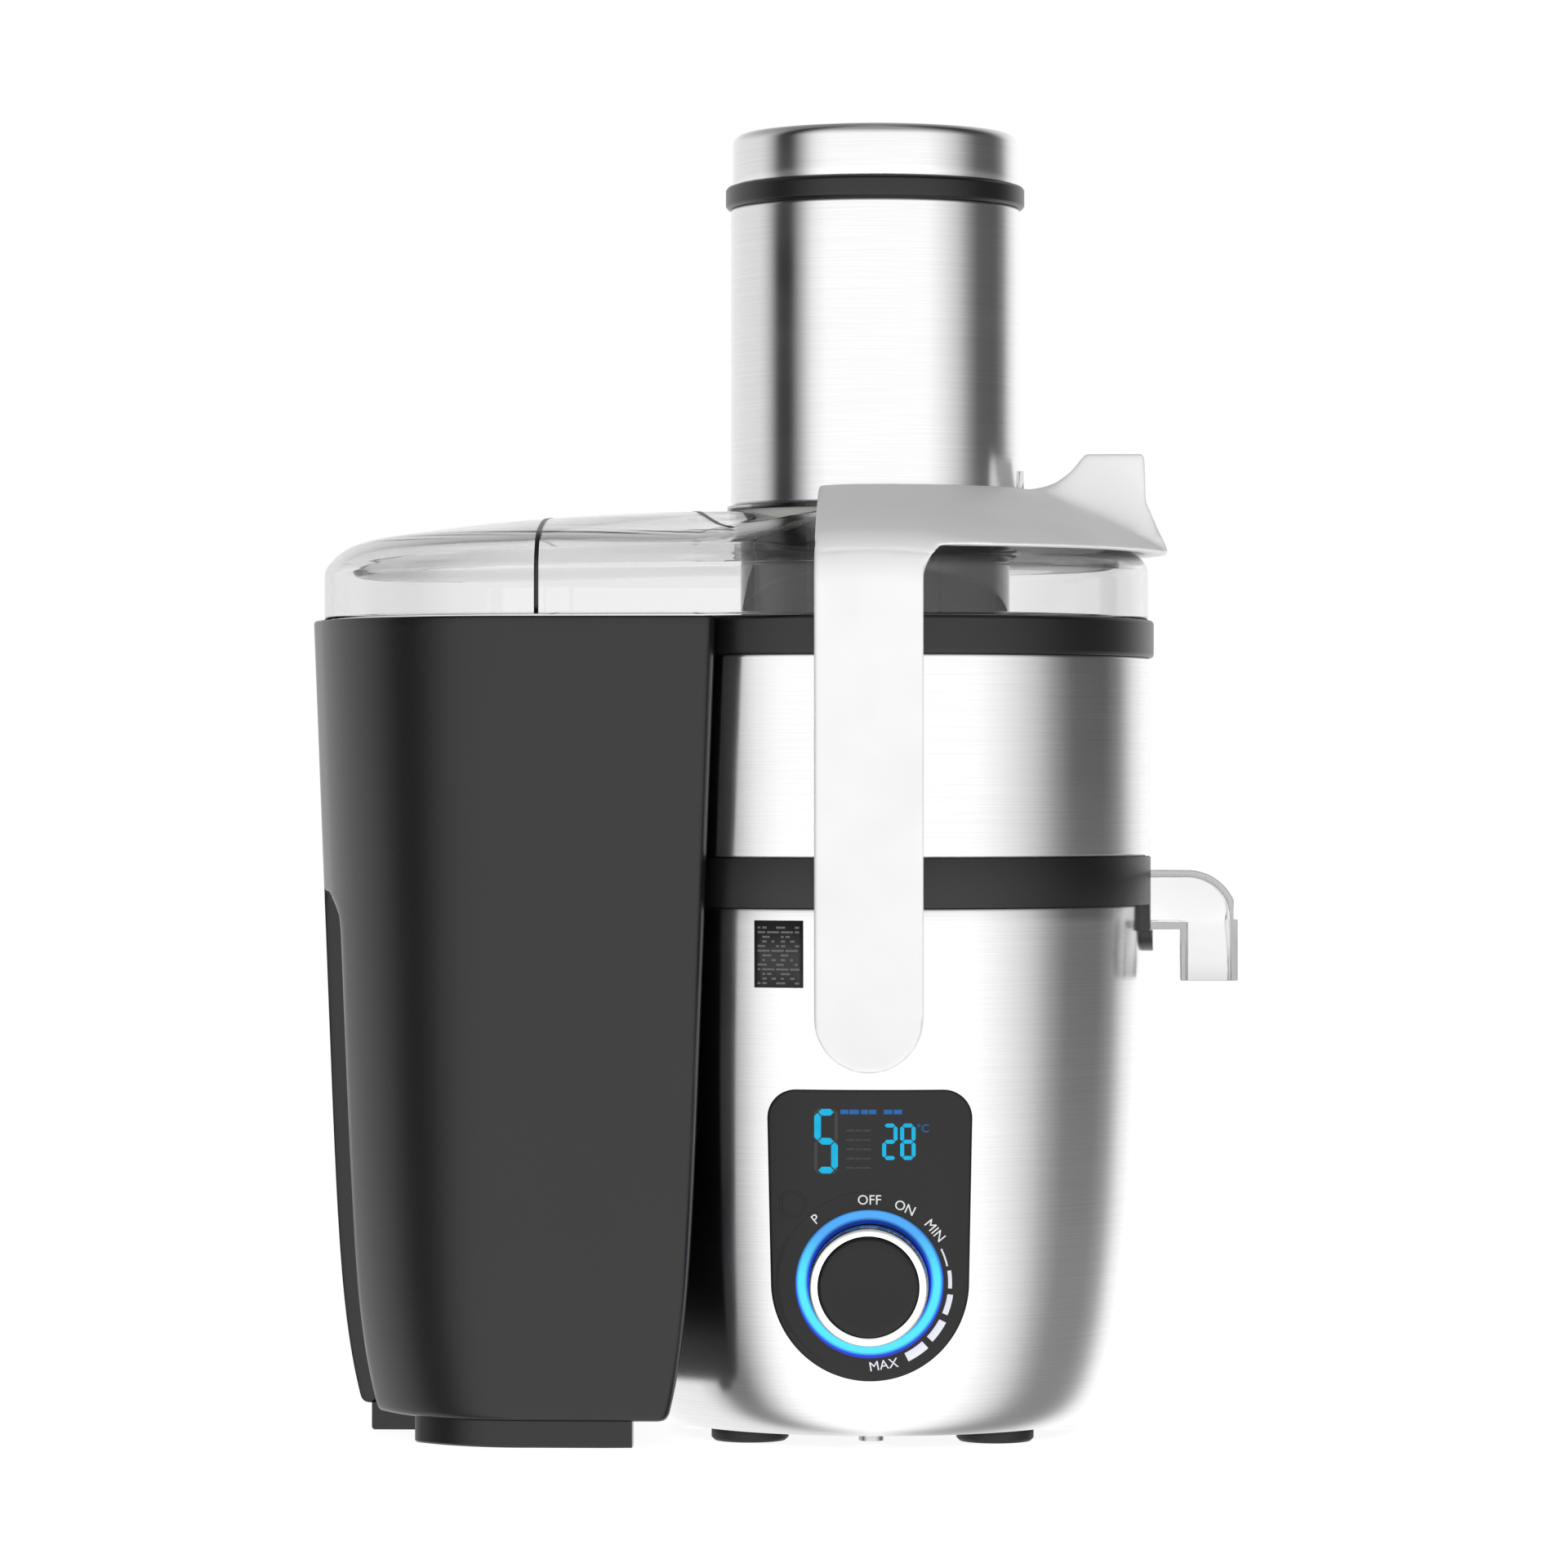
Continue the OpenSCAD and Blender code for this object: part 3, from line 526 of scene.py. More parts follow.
def make_world():
    """A white studio with two dark flags, one either side, which give the steel its dark bands."""
    world = bpy.data.worlds.new("studio")
    bpy.context.scene.world = world
    world.use_nodes = True
    t = Tree(world.node_tree)
    right, back, up = t.split(t.node("ShaderNodeTexCoord").outputs["Generated"])
    bearing = t.maths("ARCTAN2", right, t.maths("MULTIPLY", back, -1))
    bands = t.node("ShaderNodeValToRGB")
    t.put(t.spread(bearing, 0, 1, -math.pi, math.pi), bands.inputs[0])
    elements = bands.color_ramp.elements
    while len(elements) < len(LIGHT_BANDS):
        elements.new(0.5)
    for element, (degrees, level) in zip(elements, LIGHT_BANDS):
        element.position = degrees / 360 + 0.5
        element.color = (level, level, level, 1)
    darker_above = t.spread(up, 1.0, 0.27, 0.2, 0.8)
    lighter_below = t.spread(up, 0.0, 0.16, 0.0, -0.14)
    colour = t.mix(1, bands.outputs[0], darker_above, "MULTIPLY")
    lit = t.node("ShaderNodeBackground")
    t.put(t.mix(1, colour, lighter_below, "ADD"), lit.inputs["Color"])
    t.put(1.15, lit.inputs["Strength"])
    seen = t.node("ShaderNodeBackground")
    t.put((1, 1, 1, 1), seen.inputs["Color"])
    choose = t.node("ShaderNodeMixShader")
    t.put(t.node("ShaderNodeLightPath").outputs["Is Camera Ray"], choose.inputs[0])
    t.put(lit.outputs[0], choose.inputs[1])
    t.put(seen.outputs[0], choose.inputs[2])
    t.put(choose.outputs[0], t.node("ShaderNodeOutputWorld").inputs[0])


def make_floor():
    """A pale round floor that fades into the white background and stays out of reflections."""
    segments = 96
    angles = [math.tau * i / segments for i in range(segments)]
    radii = [60, 140, 240, 360, 520, 760, 1100, 1500]
    verts, faces = skin([[(r * math.cos(a), r * math.sin(a), -0.05) for a in angles] for r in radii])
    faces.append(tuple(reversed(range(segments))))
    floor = new_object("floor", verts, faces)
    m = Nodes("floor_white")
    grain = m.noise(m.coords((40, 40, 40)), 1.0, 2.0)
    m.feed(m.mix(m.spread(grain, 0, 1), (0.34, 0.34, 0.34), (0.345, 0.345, 0.345)), "Base Color")
    m.set(roughness=0.9, specular_ior_level=0.0, emission_color=(1, 1, 1, 1), emission_strength=0.92)
    fade = m.node("ShaderNodeMixShader")
    m.put(m.spread(m.vector("LENGTH", m.here()), 0, 1, 0.2, 0.46), fade.inputs[0])
    m.put(m.shader.outputs[0], fade.inputs[1])
    m.put(m.node("ShaderNodeBsdfTransparent").outputs[0], fade.inputs[2])
    m.put(fade.outputs[0], m.output.inputs["Surface"])
    floor.data.materials.append(m.material)
    floor.visible_glossy = False


make_camera()
make_world()
make_floor()
bpy.context.scene.view_settings.view_transform = "Standard"


# ---------------------------------------------------------------- motor base
def housing_at(z):
    """Radius of the housing's outer face: nearly straight above, drawn in towards the table."""
    u = (HOUSING_TOP - z) / HOUSING_TOP
    return HOUSING_R - 4 * u - 6 * u ** 3 - 8 * u ** 8 - 6.5 * u ** 40


def on_housing(x, z, out):
    """The point of the housing's front at x and z, moved outwards."""
    radius = housing_at(z) + out
    return (x, -math.sqrt(max(radius * radius - x * x, 1.0)), z)


def make_housing():
    low, lip = 4.0, 0.7
    levels = [low + (HOUSING_TOP - lip - low) * (i / 60) ** 1.6 for i in range(61)]
    outer = [(housing_at(z), z) for z in levels]
    top = [(HOUSING_R - 0.15, HOUSING_TOP - 0.25), (HOUSING_R - 0.6, HOUSING_TOP),
           (HOUSING_R - 1.3, HOUSING_TOP)]
    inner = [(housing_at(z) - SHEET, z) for z in reversed(levels[2:])]
    foot = [(housing_at(low) - 2.2, low + 0.4), (housing_at(low) - 0.8, low - 0.05)]
    piece = new_object("housing", *turned(outer + top + inner + foot))
    dress(piece, "motor_base", STEEL, ["housing_shell"])


def make_steel_ring(name, radius, low, high, node):
    """A steel sleeve whose top and bottom edges are rolled a little inwards."""
    lip = 0.9
    outline = rounded([(radius - SHEET, low, 0.3), (radius - 0.25, low, 0.4), (radius, low + lip, 0.8),
                       (radius, high - lip, 0.8), (radius - 0.25, high, 0.4), (radius - SHEET, high, 0.3)])
    side = [(radius, low + 2 * lip + (high - low - 4 * lip) * i / 12) for i in range(1, 12)]
    cut = next(i for i, p in enumerate(outline) if p[1] > (low + high) / 2)
    piece = new_object(name, *turned(outline[:cut] + side + outline[cut:]))
    dress(piece, "motor_base", STEEL, [node])


make_housing()
make_steel_ring("bowl_cover_steel", COVER_R, DECK_TOP + 0.1, COVER_TOP, "bowl_cover")
make_steel_ring("chute_sleeve_steel", SLEEVE_R, SLEEVE_LOW, CHUTE_TOP, "chute_sleeve")


def panel_outline(grow):
    """The control panel's outline in (x, z): a round foot about the dial, and rounded corners above."""
    corner, half = 9.0, PANEL_W / 2
    side = half - corner

    def arc(cx, cz, radius, start, stop, count):
        angles = [math.radians(start + (stop - start) * i / count) for i in range(count + 1)]
        return [(cx + radius * math.cos(a), cz + radius * math.sin(a)) for a in angles]

    foot = arc(0, DIAL_Z, half - 1 + grow, 180, 360, 72)
    right = arc(side, PANEL_TOP - corner, corner + grow, 0, 90, 14)
    left = arc(-side, PANEL_TOP - corner, corner + grow, 90, 180, 14)
    return (foot + points_between(foot[-1], right[0], 30) + right + points_between(right[-1], left[0], 26)
            + left + points_between(left[-1], foot[0], 30))


def make_panel():
    """A black panel that lies on the housing's curve, with a softened edge."""
    middle_z = 68.0
    face_inset = 0.7
    shrinks = [0.985, 0.96, 0.92, 0.86, 0.78, 0.68, 0.57, 0.46, 0.35, 0.24, 0.13, 0.05]
    softened_edge = [(0.1, -0.6), (0.0, PANEL_PROUD - 0.5), (-0.12, PANEL_PROUD - 0.2),
                     (-0.35, PANEL_PROUD - 0.05), (-face_inset, PANEL_PROUD)]
    rows = [[on_housing(x, z, out) for x, z in panel_outline(grow)] for grow, out in softened_edge]
    edge = panel_outline(-face_inset)
    for shrink in shrinks:
        rows.append([on_housing(x * shrink, lerp(middle_z, z, shrink), PANEL_PROUD) for x, z in edge])
    verts, faces = skin(rows)
    last = (len(rows) - 1) * len(edge)
    faces.append(tuple(range(last, last + len(edge))))
    piece = new_object("panel_face", verts, faces)
    dress(piece, "motor_base", PANEL, ["control_panel"])


make_panel()


def on_panel(points, faces, name, material, lift=0.05):
    """A flat figure in (x, z) laid on the panel's face."""
    verts = [on_housing(x, z, PANEL_PROUD + lift) for x, z in points]
    dress(new_object(name, verts, faces, smooth=False), "motor_base", material)


def text_outline(words, size):
    """The words as flat triangles in (x, y), centred."""
    curve = bpy.data.curves.new("words", "FONT")
    curve.body = words
    curve.size = size
    curve.align_x = "CENTER"
    curve.align_y = "CENTER"
    curve.resolution_u = 3
    holder = bpy.data.objects.new("words", curve)
    bpy.context.scene.collection.objects.link(holder)
    bpy.context.view_layer.update()
    mesh = bpy.data.meshes.new_from_object(holder.evaluated_get(bpy.context.evaluated_depsgraph_get()))
    verts = [(v.co.x, v.co.y) for v in mesh.vertices]
    faces = [tuple(p.vertices) for p in mesh.polygons]
    bpy.data.objects.remove(holder)
    bpy.data.meshes.remove(mesh)
    bpy.data.curves.remove(curve)
    return verts, faces


def round_dial(points, angle, radius):
    """Moves a figure drawn about the origin to a clock angle round the dial, its top outwards."""
    turn = math.radians(angle)
    c, s = math.cos(turn), math.sin(turn)
    out = []
    for x, y in points:
        reach = radius + y
        out.append((x * c + reach * s, DIAL_Z + reach * c - x * s))
    return out


def by_clock(angle, radius, centre=(0.0, DIAL_Z)):
    """The point of the panel at a clock angle, in radians, and a distance from a centre."""
    return (centre[0] + radius * math.sin(angle), centre[1] + radius * math.cos(angle))


def make_legends():
    """Position names round the dial, and dashes that grow with the speed."""
    radius, size = 26.1, 4.3
    words_at = [("P", -40), ("OFF", 0), ("ON", 25), ("MIN", 51)]
    dashes = [(71, 5.9, 0.55), (87.5, 5.7, 1.2), (105.5, 6.4, 1.8), (125.5, 6.9, 2.4), (146, 6.9, 2.9)]
    dash_low, dash_r, steps = 24.5, 25.4, 6
    parts = []
    for words, angle in words_at:
        points, faces = text_outline(words, size)
        parts.append((round_dial(points, angle, radius), faces))
    points, faces = text_outline("MAX", size)
    parts.append((round_dial([(-x, -y) for x, y in points], 170.5, radius), faces))
    for angle, length, thick in dashes:
        half = math.degrees(length / dash_r) / 2
        angles = [math.radians(angle - half + 2 * half * k / steps) for k in range(steps + 1)]
        points = [by_clock(a, dash_low) for a in angles]
        points += [by_clock(a, dash_low + thick) for a in reversed(angles)]
        parts.append((points, [tuple(range(len(points)))]))
    points, faces = joined(parts)
    on_panel(points, faces, "dial_legends", PRINT)


def make_dial_lines():
    """Two fine arcs along the panel's foot, and a small double ring at its upper left."""
    lines = []
    for radius, start, stop in [(28.6, -150, 8), (29.3, -122, -60)]:
        angles = [math.radians(start + (stop - start) * k / 60) for k in range(61)]
        lines.append(ribbon([(by_clock(a, radius + 0.28), by_clock(a, radius)) for a in angles]))
    angles = [math.tau * k / 40 for k in range(41)]
    centre = (-24.0, DIAL_Z + 24.6)
    for radius, outer in [(3.3, 3.55), (4.2, 4.45)]:
        lines.append(ribbon([(by_clock(a, outer, centre), by_clock(a, radius, centre)) for a in angles]))
    points, faces = joined(lines)
    on_panel(points, faces, "dial_lines", LINE)


# Which bars of a seven-segment digit are lit, lettered clockwise from the top, with g in the middle
SEGMENTS = {"2": "abged", "8": "abcdefg", "5": "afgcd"}


def digit(character, left, low, width, height, thick):
    """A seven-segment digit as six-sided bars."""
    gap = thick * 0.12
    mid = low + height / 2

    def bar(x0, z0, x1, z1):
        """A pointed bar between two points, level or upright."""
        t = thick / 2
        if z0 == z1:
            x0, x1 = x0 + t + gap, x1 - t - gap
            return [(x0, z0), (x0 + t, z0 + t), (x1 - t, z0 + t),
                    (x1, z0), (x1 - t, z0 - t), (x0 + t, z0 - t)]
        z0, z1 = z0 + t + gap, z1 - t - gap
        return [(x0, z0), (x0 - t, z0 + t), (x0 - t, z1 - t), (x0, z1), (x0 + t, z1 - t), (x0 + t, z0 + t)]

    t = thick / 2
    x0, x1, z0, z1 = left + t, left + width - t, low + t, low + height - t
    bars = {"a": (x0 - t, z1, x1 + t, z1), "b": (x1, mid - t, x1, z1 + t), "c": (x1, z0 - t, x1, mid + t),
            "d": (x0 - t, z0, x1 + t, z0), "e": (x0, z0 - t, x0, mid + t), "f": (x0, mid - t, x0, z1 + t),
            "g": (x0 - t, mid, x1 + t, mid)}
    return [(bar(*bars[s]), [tuple(range(6))]) for s in SEGMENTS[character]]


def make_display():
    """The speed step, a temperature and faint unlit rows, as on a segment display."""
    speed = (-17.2, 87.4, 7.4, 20.2)
    parts = digit("5", *speed, 2.1)
    for character, left in [("2", 4.0), ("8", 9.6)]:
        parts += digit(character, left, 91.7, 4.8, 11.4, 1.25)
    points, faces = joined(parts)
    on_panel(points, faces, "display_digits", DIGITS, 0.04)
    unit, unit_faces = text_outline("\u00b0C", 3.6)
    dashes = [([(x + 16.7, z + 101.4) for x, z in unit], unit_faces)]
    for left, width in [(-9.0, 2.5), (-6.2, 3.0), (-2.6, 2.2), (-0.1, 2.3), (4.5, 2.7), (7.6, 2.6)]:
        dashes.append(rectangle(left, 106.0, width, 1.4))
    points, faces = joined(dashes)
    on_panel(points, faces, "display_dashes", DIM_TEXT, 0.04)
    unlit = digit("8", *speed, 1.0)
    for i in range(5):
        for left, width in [(-7.2, 2.6), (-4.2, 1.8), (-2.0, 2.4)]:
            unlit.append(rectangle(left, 89.0 + 2.9 * i, width, 0.55))
    points, faces = joined(unlit)
    on_panel(points, faces, "display_rows", GHOST, 0.02)


make_legends()
make_dial_lines()
make_display()


# ---------------------------------------------------------------- dial
def make_dial():
    """A seat on the panel, the lit ring round it, and the dial: a bright ring with a dark cap."""
    back, front, face = 78, 86.4, 98.6
    seat = rounded([(3.4, back, 0), (18.7, back, 0), (18.7, 84.6, 0.4), (3.4, 84.6, 0)])
    piece = new_object("dial_seat", *turned(seat, 128, about_y(DIAL_Z)))
    dress(piece, "motor_base", PANEL, ["knob_seat"])
    ring = rounded([(18.85, back, 0), (23.1, back, 0), (23.1, 85.2, 0.9), (20.9, 85.55, 2.0),
                    (18.85, 85.2, 0.7)], 6)
    piece = new_object("dial_light", *turned(ring, 160, about_y(DIAL_Z)))
    dress(piece, "motor_base", RING_LIGHT, ["light_ring"])
    trim = rounded([(15.7, front, 0), (18.5, front, 0.4), (18.5, 96.9, 0.7), (18.1, 98.2, 0.7),
                    (17.2, face, 0.5), (15.7, 98.3, 0.3)], 4)
    piece = new_object("dial_trim", *turned(trim, 160, about_y(DIAL_Z)))
    dress(piece, "knob", TRIM, ["knob_ring"])
    cap = [(0, front), (15.55, front), (15.6, 97.6), (15.45, 98.3), (15.0, 98.75), (14.3, 98.95),
           (12.0, 98.9), (8.0, 98.7), (3.0, face), (0, face)]
    piece = new_object("dial_cap", *turned_solid(cap, 128, about_y(DIAL_Z)))
    dress(piece, "knob", PANEL, ["knob_cap"])


make_dial()


# ---------------------------------------------------------------- bands, bowl rim and pusher
def make_rim():
    """The bowl's black rim band, with a groove in its top for the lid."""
    low, bore, groove_in, groove_out, groove_low = COVER_TOP + 0.1, 84.2, 85.5, 87.5, RIM_TOP - 1.6
    outline = rounded([(bore, low, 0.3), (RIM_R - 0.4, low, 0.5), (RIM_R, low + 1.1, 0.6),
                       (RIM_R, RIM_TOP - 1.0, 0.8), (RIM_R - 0.5, RIM_TOP, 0.6), (groove_out, RIM_TOP, 0.3),
                       (groove_out, groove_low, 0), (groove_in, groove_low, 0), (groove_in, RIM_TOP, 0.3),
                       (bore, RIM_TOP, 0.4)])
    dress(new_object("bowl_rim_band", *turned(outline)), "motor_base", BLACK, ["bowl_rim"])


def make_pusher():
    """The pusher's black grip band, its steel cap with a rounded shoulder, and a small nub on top."""
    low, high = CHUTE_TOP + 0.05, CHUTE_TOP + 7
    band = rounded([(40.05, low, 0), (47.6, low, 0.5), (48.4, low + 0.9, 0.7), (48.4, high - 0.9, 0.7),
                    (47.7, high, 0.5), (40.05, high, 0)])
    dress(new_object("pusher_band", *turned(band)), "pusher", BLACK, ["pusher_ring"])
    low, side, shoulder = high + 0.05, 46.2, 3.4
    corner = [(side - shoulder + shoulder * math.cos(a), CAP_TOP - 3.6 + 3.6 * math.sin(a))
              for a in [math.radians(8 * i) for i in range(12)]]
    dome = [(r, CAP_TOP + 3.0 - r * r / 560) for r in [40, 36, 30, 24, 18, 12, 7, 4.4]]
    wall = [(side - 0.35, low), (side, low + 0.7), (side, low + 4), (side, low + 8)]
    cap = [(0, low + 0.3), (side - 1.2, low + 0.3)] + wall + corner + dome + [(0, CAP_TOP + 3.02)]
    dress(new_object("pusher_lid", *turned_solid(cap)), "pusher", STEEL, ["pusher_cap"])
    nub = [(0, 2), (2.7, 2.2), (2.75, 3.3), (2.4, 3.9), (1.5, 4.3), (0, 4.4)]
    nub = [(r, CAP_TOP + h) for r, h in nub]
    dress(new_object("pusher_nub", *turned_solid(nub, 48)), "pusher", PUSHER)


make_rim()
make_pusher()


# ---------------------------------------------------------------- lid
def lid_loop(inset=3.4):
    """The lid's plan: half an ellipse over the bin, straight sides, and a round end over the bowl."""
    half = BIN_HALF - inset
    centre = -BIN_END + BIN_LONG
    end = [(centre - (BIN_LONG - inset) * math.cos(t), half * math.sin(t))
           for t in [math.radians(-90 + 3 * i) for i in range(61)]]
    lean = math.asin((LID_R - half) / -centre)
    bowl = [(LID_R * math.cos(t), LID_R * math.sin(t))
            for t in [math.pi / 2 + lean - (math.pi + 2 * lean) * i / 64 for i in range(65)]]
    return end + points_between(end[-1], bowl[0], 14) + bowl + points_between(bowl[-1], end[0], 14)


LID_LOOP = lid_loop()
# The lid's top: height by distance in from its edge, over the bin and over the bowl
CROWN_FAR = [(0, 276.6), (0.5, 278.2), (1.4, 279.6), (3.5, 282.0), (8.5, 285.4), (16, 287.7), (27, 289.4),
             (38, 291.0), (53, 292.8), (75, 294.6), (100, 296.1), (135, 296.9)]
CROWN_NEAR = [(0, 277.4), (0.5, 279.2), (1.6, 281.0), (4, 283.0), (8, 285.4), (17, 290.0), (27, 294.0),
              (34, 296.2), (43, 296.9)]


def crown(x, inset):
    """Height of the lid's top at a distance in from the point of its edge that stands at x."""
    side = ease((x + 75) / 65)
    return along(CROWN_FAR, inset) * (1 - side) + along(CROWN_NEAR, inset) * side


def make_lid():
    """The clear lid: an upright wall and a crown that rises towards the hole of the chute."""
    hole = 46.0
    full_room = 90.0                 # with less room to the hole, the rows draw together
    shoulder = [0.0, 0.25, 0.6, 1.2, 2.2, 3.6, 5.4, 8.0, 11.5, 16, 21, 27]
    shares = [(f - 0.18) / 0.82 for f in (0.26, 0.34, 0.43, 0.53, 0.63, 0.73, 0.82, 0.9, 0.96, 1.0)]

    def crown_row(inset_of):
        """A row of the crown; inset_of gives its distance in from an edge point, by the room to the hole."""
        row = []
        for x, y in LID_LOOP:
            reach = math.hypot(x, y)
            inset = inset_of(reach - hole)
            keep = 1 - inset / reach
            row.append((x * keep, y * keep, crown(x, inset)))
        return row

    rows = [[(x, y, z) for x, y in LID_LOOP] for z in (LID_LOW, LID_LOW + 1, 266, 270, 273.5)]
    for step in shoulder:
        rows.append(crown_row(lambda room: step * min(1.0, room / full_room)))
    for share in shares:
        rows.append(crown_row(lambda room: lerp(shoulder[-1] * min(1.0, room / full_room), room, share)))
    piece = new_object("lid_clear", *skin(rows))
    wall = thickened(piece, LID_WALL)
    wall.offset = 1
    wall.use_even_offset = True
    dress(piece, "motor_base", CLEAR, ["lid_cover"])


make_lid()


def lid_height(x, y):
    """Height of the lid's top over a point, measured along the ray from the axis to the edge."""
    for a, b in zip(LID_LOOP, LID_LOOP[1:] + LID_LOOP[:1]):
        side_a, side_b = a[0] * y - a[1] * x, b[0] * y - b[1] * x
        if side_a * side_b <= 0 and a[0] * x + a[1] * y > 0:
            t = side_a / (side_a - side_b) if side_a != side_b else 0
            edge = (a[0] + (b[0] - a[0]) * t, a[1] + (b[1] - a[1]) * t)
            return crown(edge[0], math.hypot(*edge) - math.hypot(x, y))
    return LID_TOP


def make_lid_lines():
    """The two dark ribs that show through the front of the lid: one straight, one bowed round the chute."""
    left, right, proud = -104.7, -103.3, 0.12
    front = min(y for x, y in LID_LOOP if abs(x + 104) < 8)
    straight = [[(x, front - proud, z) for x in (left, right)] for z in (262, 266, 270, 274)]
    for i in range(26):
        y = front + 0.05 + (12 - front) * (i / 25) ** 2
        straight.append([(x, y, lid_height(x, y) + proud) for x in (left, right)])
    bow_x, bow_r, half = 101, 159.7, 0.8
    bow = []
    for i in range(22):
        y = -68 + 80 * i / 21
        x = bow_x - math.sqrt(bow_r ** 2 - y * y)
        bow.append([(px, y, lid_height(px, y) + proud) for px in (x - half, x + half)])
    piece = new_object("lid_lines", *joined([ribbon(straight), ribbon(bow)]))
    thickened(piece, 0.1)
    dress(piece, "motor_base", BLACK, ["lid_ribs"])


make_lid_lines()


def make_lid_shade_band(inset=11, size=2.1):
    """A band inside the lid's shoulder that stands for its thicker plastic: a soft grey stripe of painted
    shade that rises towards the chute, in a plastic that hardly bends light, so it only greys.
    """
    low, rise, segments = 278.5, 2.6, 12
    turns = [math.tau * k / segments for k in range(segments)]
    rows = []
    for x, y in LID_LOOP:
        reach = math.hypot(x, y)
        height = low + rise * min(1.0, max(-0.2, (x + 160) / 95))
        row = []
        for turn in turns:
            keep = 1 - (inset - size * math.cos(turn)) / reach
            row.append((x * keep, y * keep, height + size * 1.15 * math.sin(turn)))
        rows.append(row)
    # The band's grey is painted shade along the shoulder, not the bending of light in thicker plastic
    dress(new_object("lid_shade_band", *skin(rows, closed_rows=True)), "motor_base", SHOULDER_SHADE)


make_lid_shade_band()


def make_collar_with_painted_light():
    """The pale skirt under the chute's sleeve, where it stands on the lid; it reaches down over the gap
    beneath the sleeve, so its pale band is painted light where that gap lies in shade.
    """
    # The skirt's reach down to 293.2 mm is painted light: a pale band over a gap that lies in shade
    profile = [(45.7, 293.2), (46.3, 293.2), (46.6, 293.5), (46.6, 297.2), (45.7, 297.2)]
    dress(new_object("chute_collar_painted_light", *turned(profile)), "motor_base", NYLON)


make_collar_with_painted_light()


def make_label():
    """A small code plate on the housing: a generic pattern of bars that says nothing."""
    low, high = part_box("side_label")
    left, right = (low.x - AXIS_X) / MM, (high.x - AXIS_X) / MM
    bottom, top = low.z / MM, high.z / MM
    strips = 8
    cuts = [lerp(left, right, i / strips) for i in range(strips + 1)]
    plate, faces = ribbon([(on_housing(x, top, 0.3), on_housing(x, bottom, 0.3)) for x in cuts])
    piece = new_object("label_plate", plate, faces)
    thickened(piece, 0.25).offset = 1
    dress(piece, "motor_base", LABEL, ["side_label"])
    columns, rows = 9, 13
    step_x, step_z = (right - left - 2) / columns, (top - bottom - 2.2) / rows
    bars = []
    for row in range(rows):
        for column in range(columns):
            if (row * 7 + column * 5 + row * column) % 4 in (0, 1):
                width = step_x * (0.95 if (row + column) % 3 else 0.6)
                corners, face = rectangle(left + 1 + column * step_x, bottom + 1.1 + row * step_z,
                                          width, step_z * 0.45)
                bars.append(([on_housing(x, z, 0.6) for x, z in corners], face))
    dress(new_object("label_bars", *joined(bars), smooth=False), "motor_base", LABEL_PRINT)


make_label()


# ---------------------------------------------------------------- pulp bin
def bin_draft(z):
    """How far the bin's walls have come in at a height."""
    v = (BIN_TOP - z) / BIN_TOP
    return 10 * v + 8.4 * v ** 10


# Where the bin's end is cut into points: depths from its middle line, closest at the edge of the grip rib
RIB_MARKS = [21, 20, 19, 18.2, 17.4, 16.6, 15.8, 15, 14.2, 13.6,
             13.1, 12.7, 12.3, 11.9, 11.4, 10.8, 9.6, 8, 6.5, 5]


def scoop_depth(z):
    """How deep the scoops are cut at a height: even below, and rounded off towards their upper edge."""
    deepest, round_low, top = 8.4, 162, 175
    if z >= top:
        return 0.0
    return deepest * math.sqrt(max(0.0, 1 - max(0.0, (z - round_low) / (top - round_low)) ** 2))


def bin_loop(d, z):
    """The bin's plan with its walls d further in, with scoops either side of the grip rib."""
    inset = bin_draft(z) + d
    half = BIN_HALF - inset
    near = -BIN_NEAR - inset
    inner = 91.5 + max(d, 0)
    horn = math.acos(min(1.0, max(-1.0, near / inner)))
    crescent = [(inner * math.cos(a), -inner * math.sin(a))
                for a in [math.pi - (math.pi - horn) * (i / 36) for i in range(36)]]
    horn_y = inner * math.sin(horn)
    corners = rounded([(near, -horn_y, 0), (near, -horn_y - 0.01, 1.2), (near, -half, 6.0),
                       (near - 14, -half, 0)], 6)
    side_end = -BIN_END + BIN_LONG
    sides = points_between((near - 14, -half), (side_end, -half), 12)
    marks = [math.asin(m / BIN_HALF) for m in RIB_MARKS]
    turns = [math.radians(a) for a in [90, 88, 85, *range(84, 20, -2)]]
    turns = [t for t in turns if t > marks[0] + 0.01] + marks + [0.02]
    scooped = -BIN_END + inset + scoop_depth(z)
    end = []
    for t in turns:
        x = side_end - (BIN_LONG - inset) * math.cos(t)
        beside_rib = ease((BIN_HALF * math.sin(t) - 11.6) / 1.6)
        end.append((x + max(0.0, scooped - x) * beside_rib, -half * math.sin(t)))
    front = crescent + corners + sides + end
    return front + [(x, -y) for x, y in reversed(front[1:])]


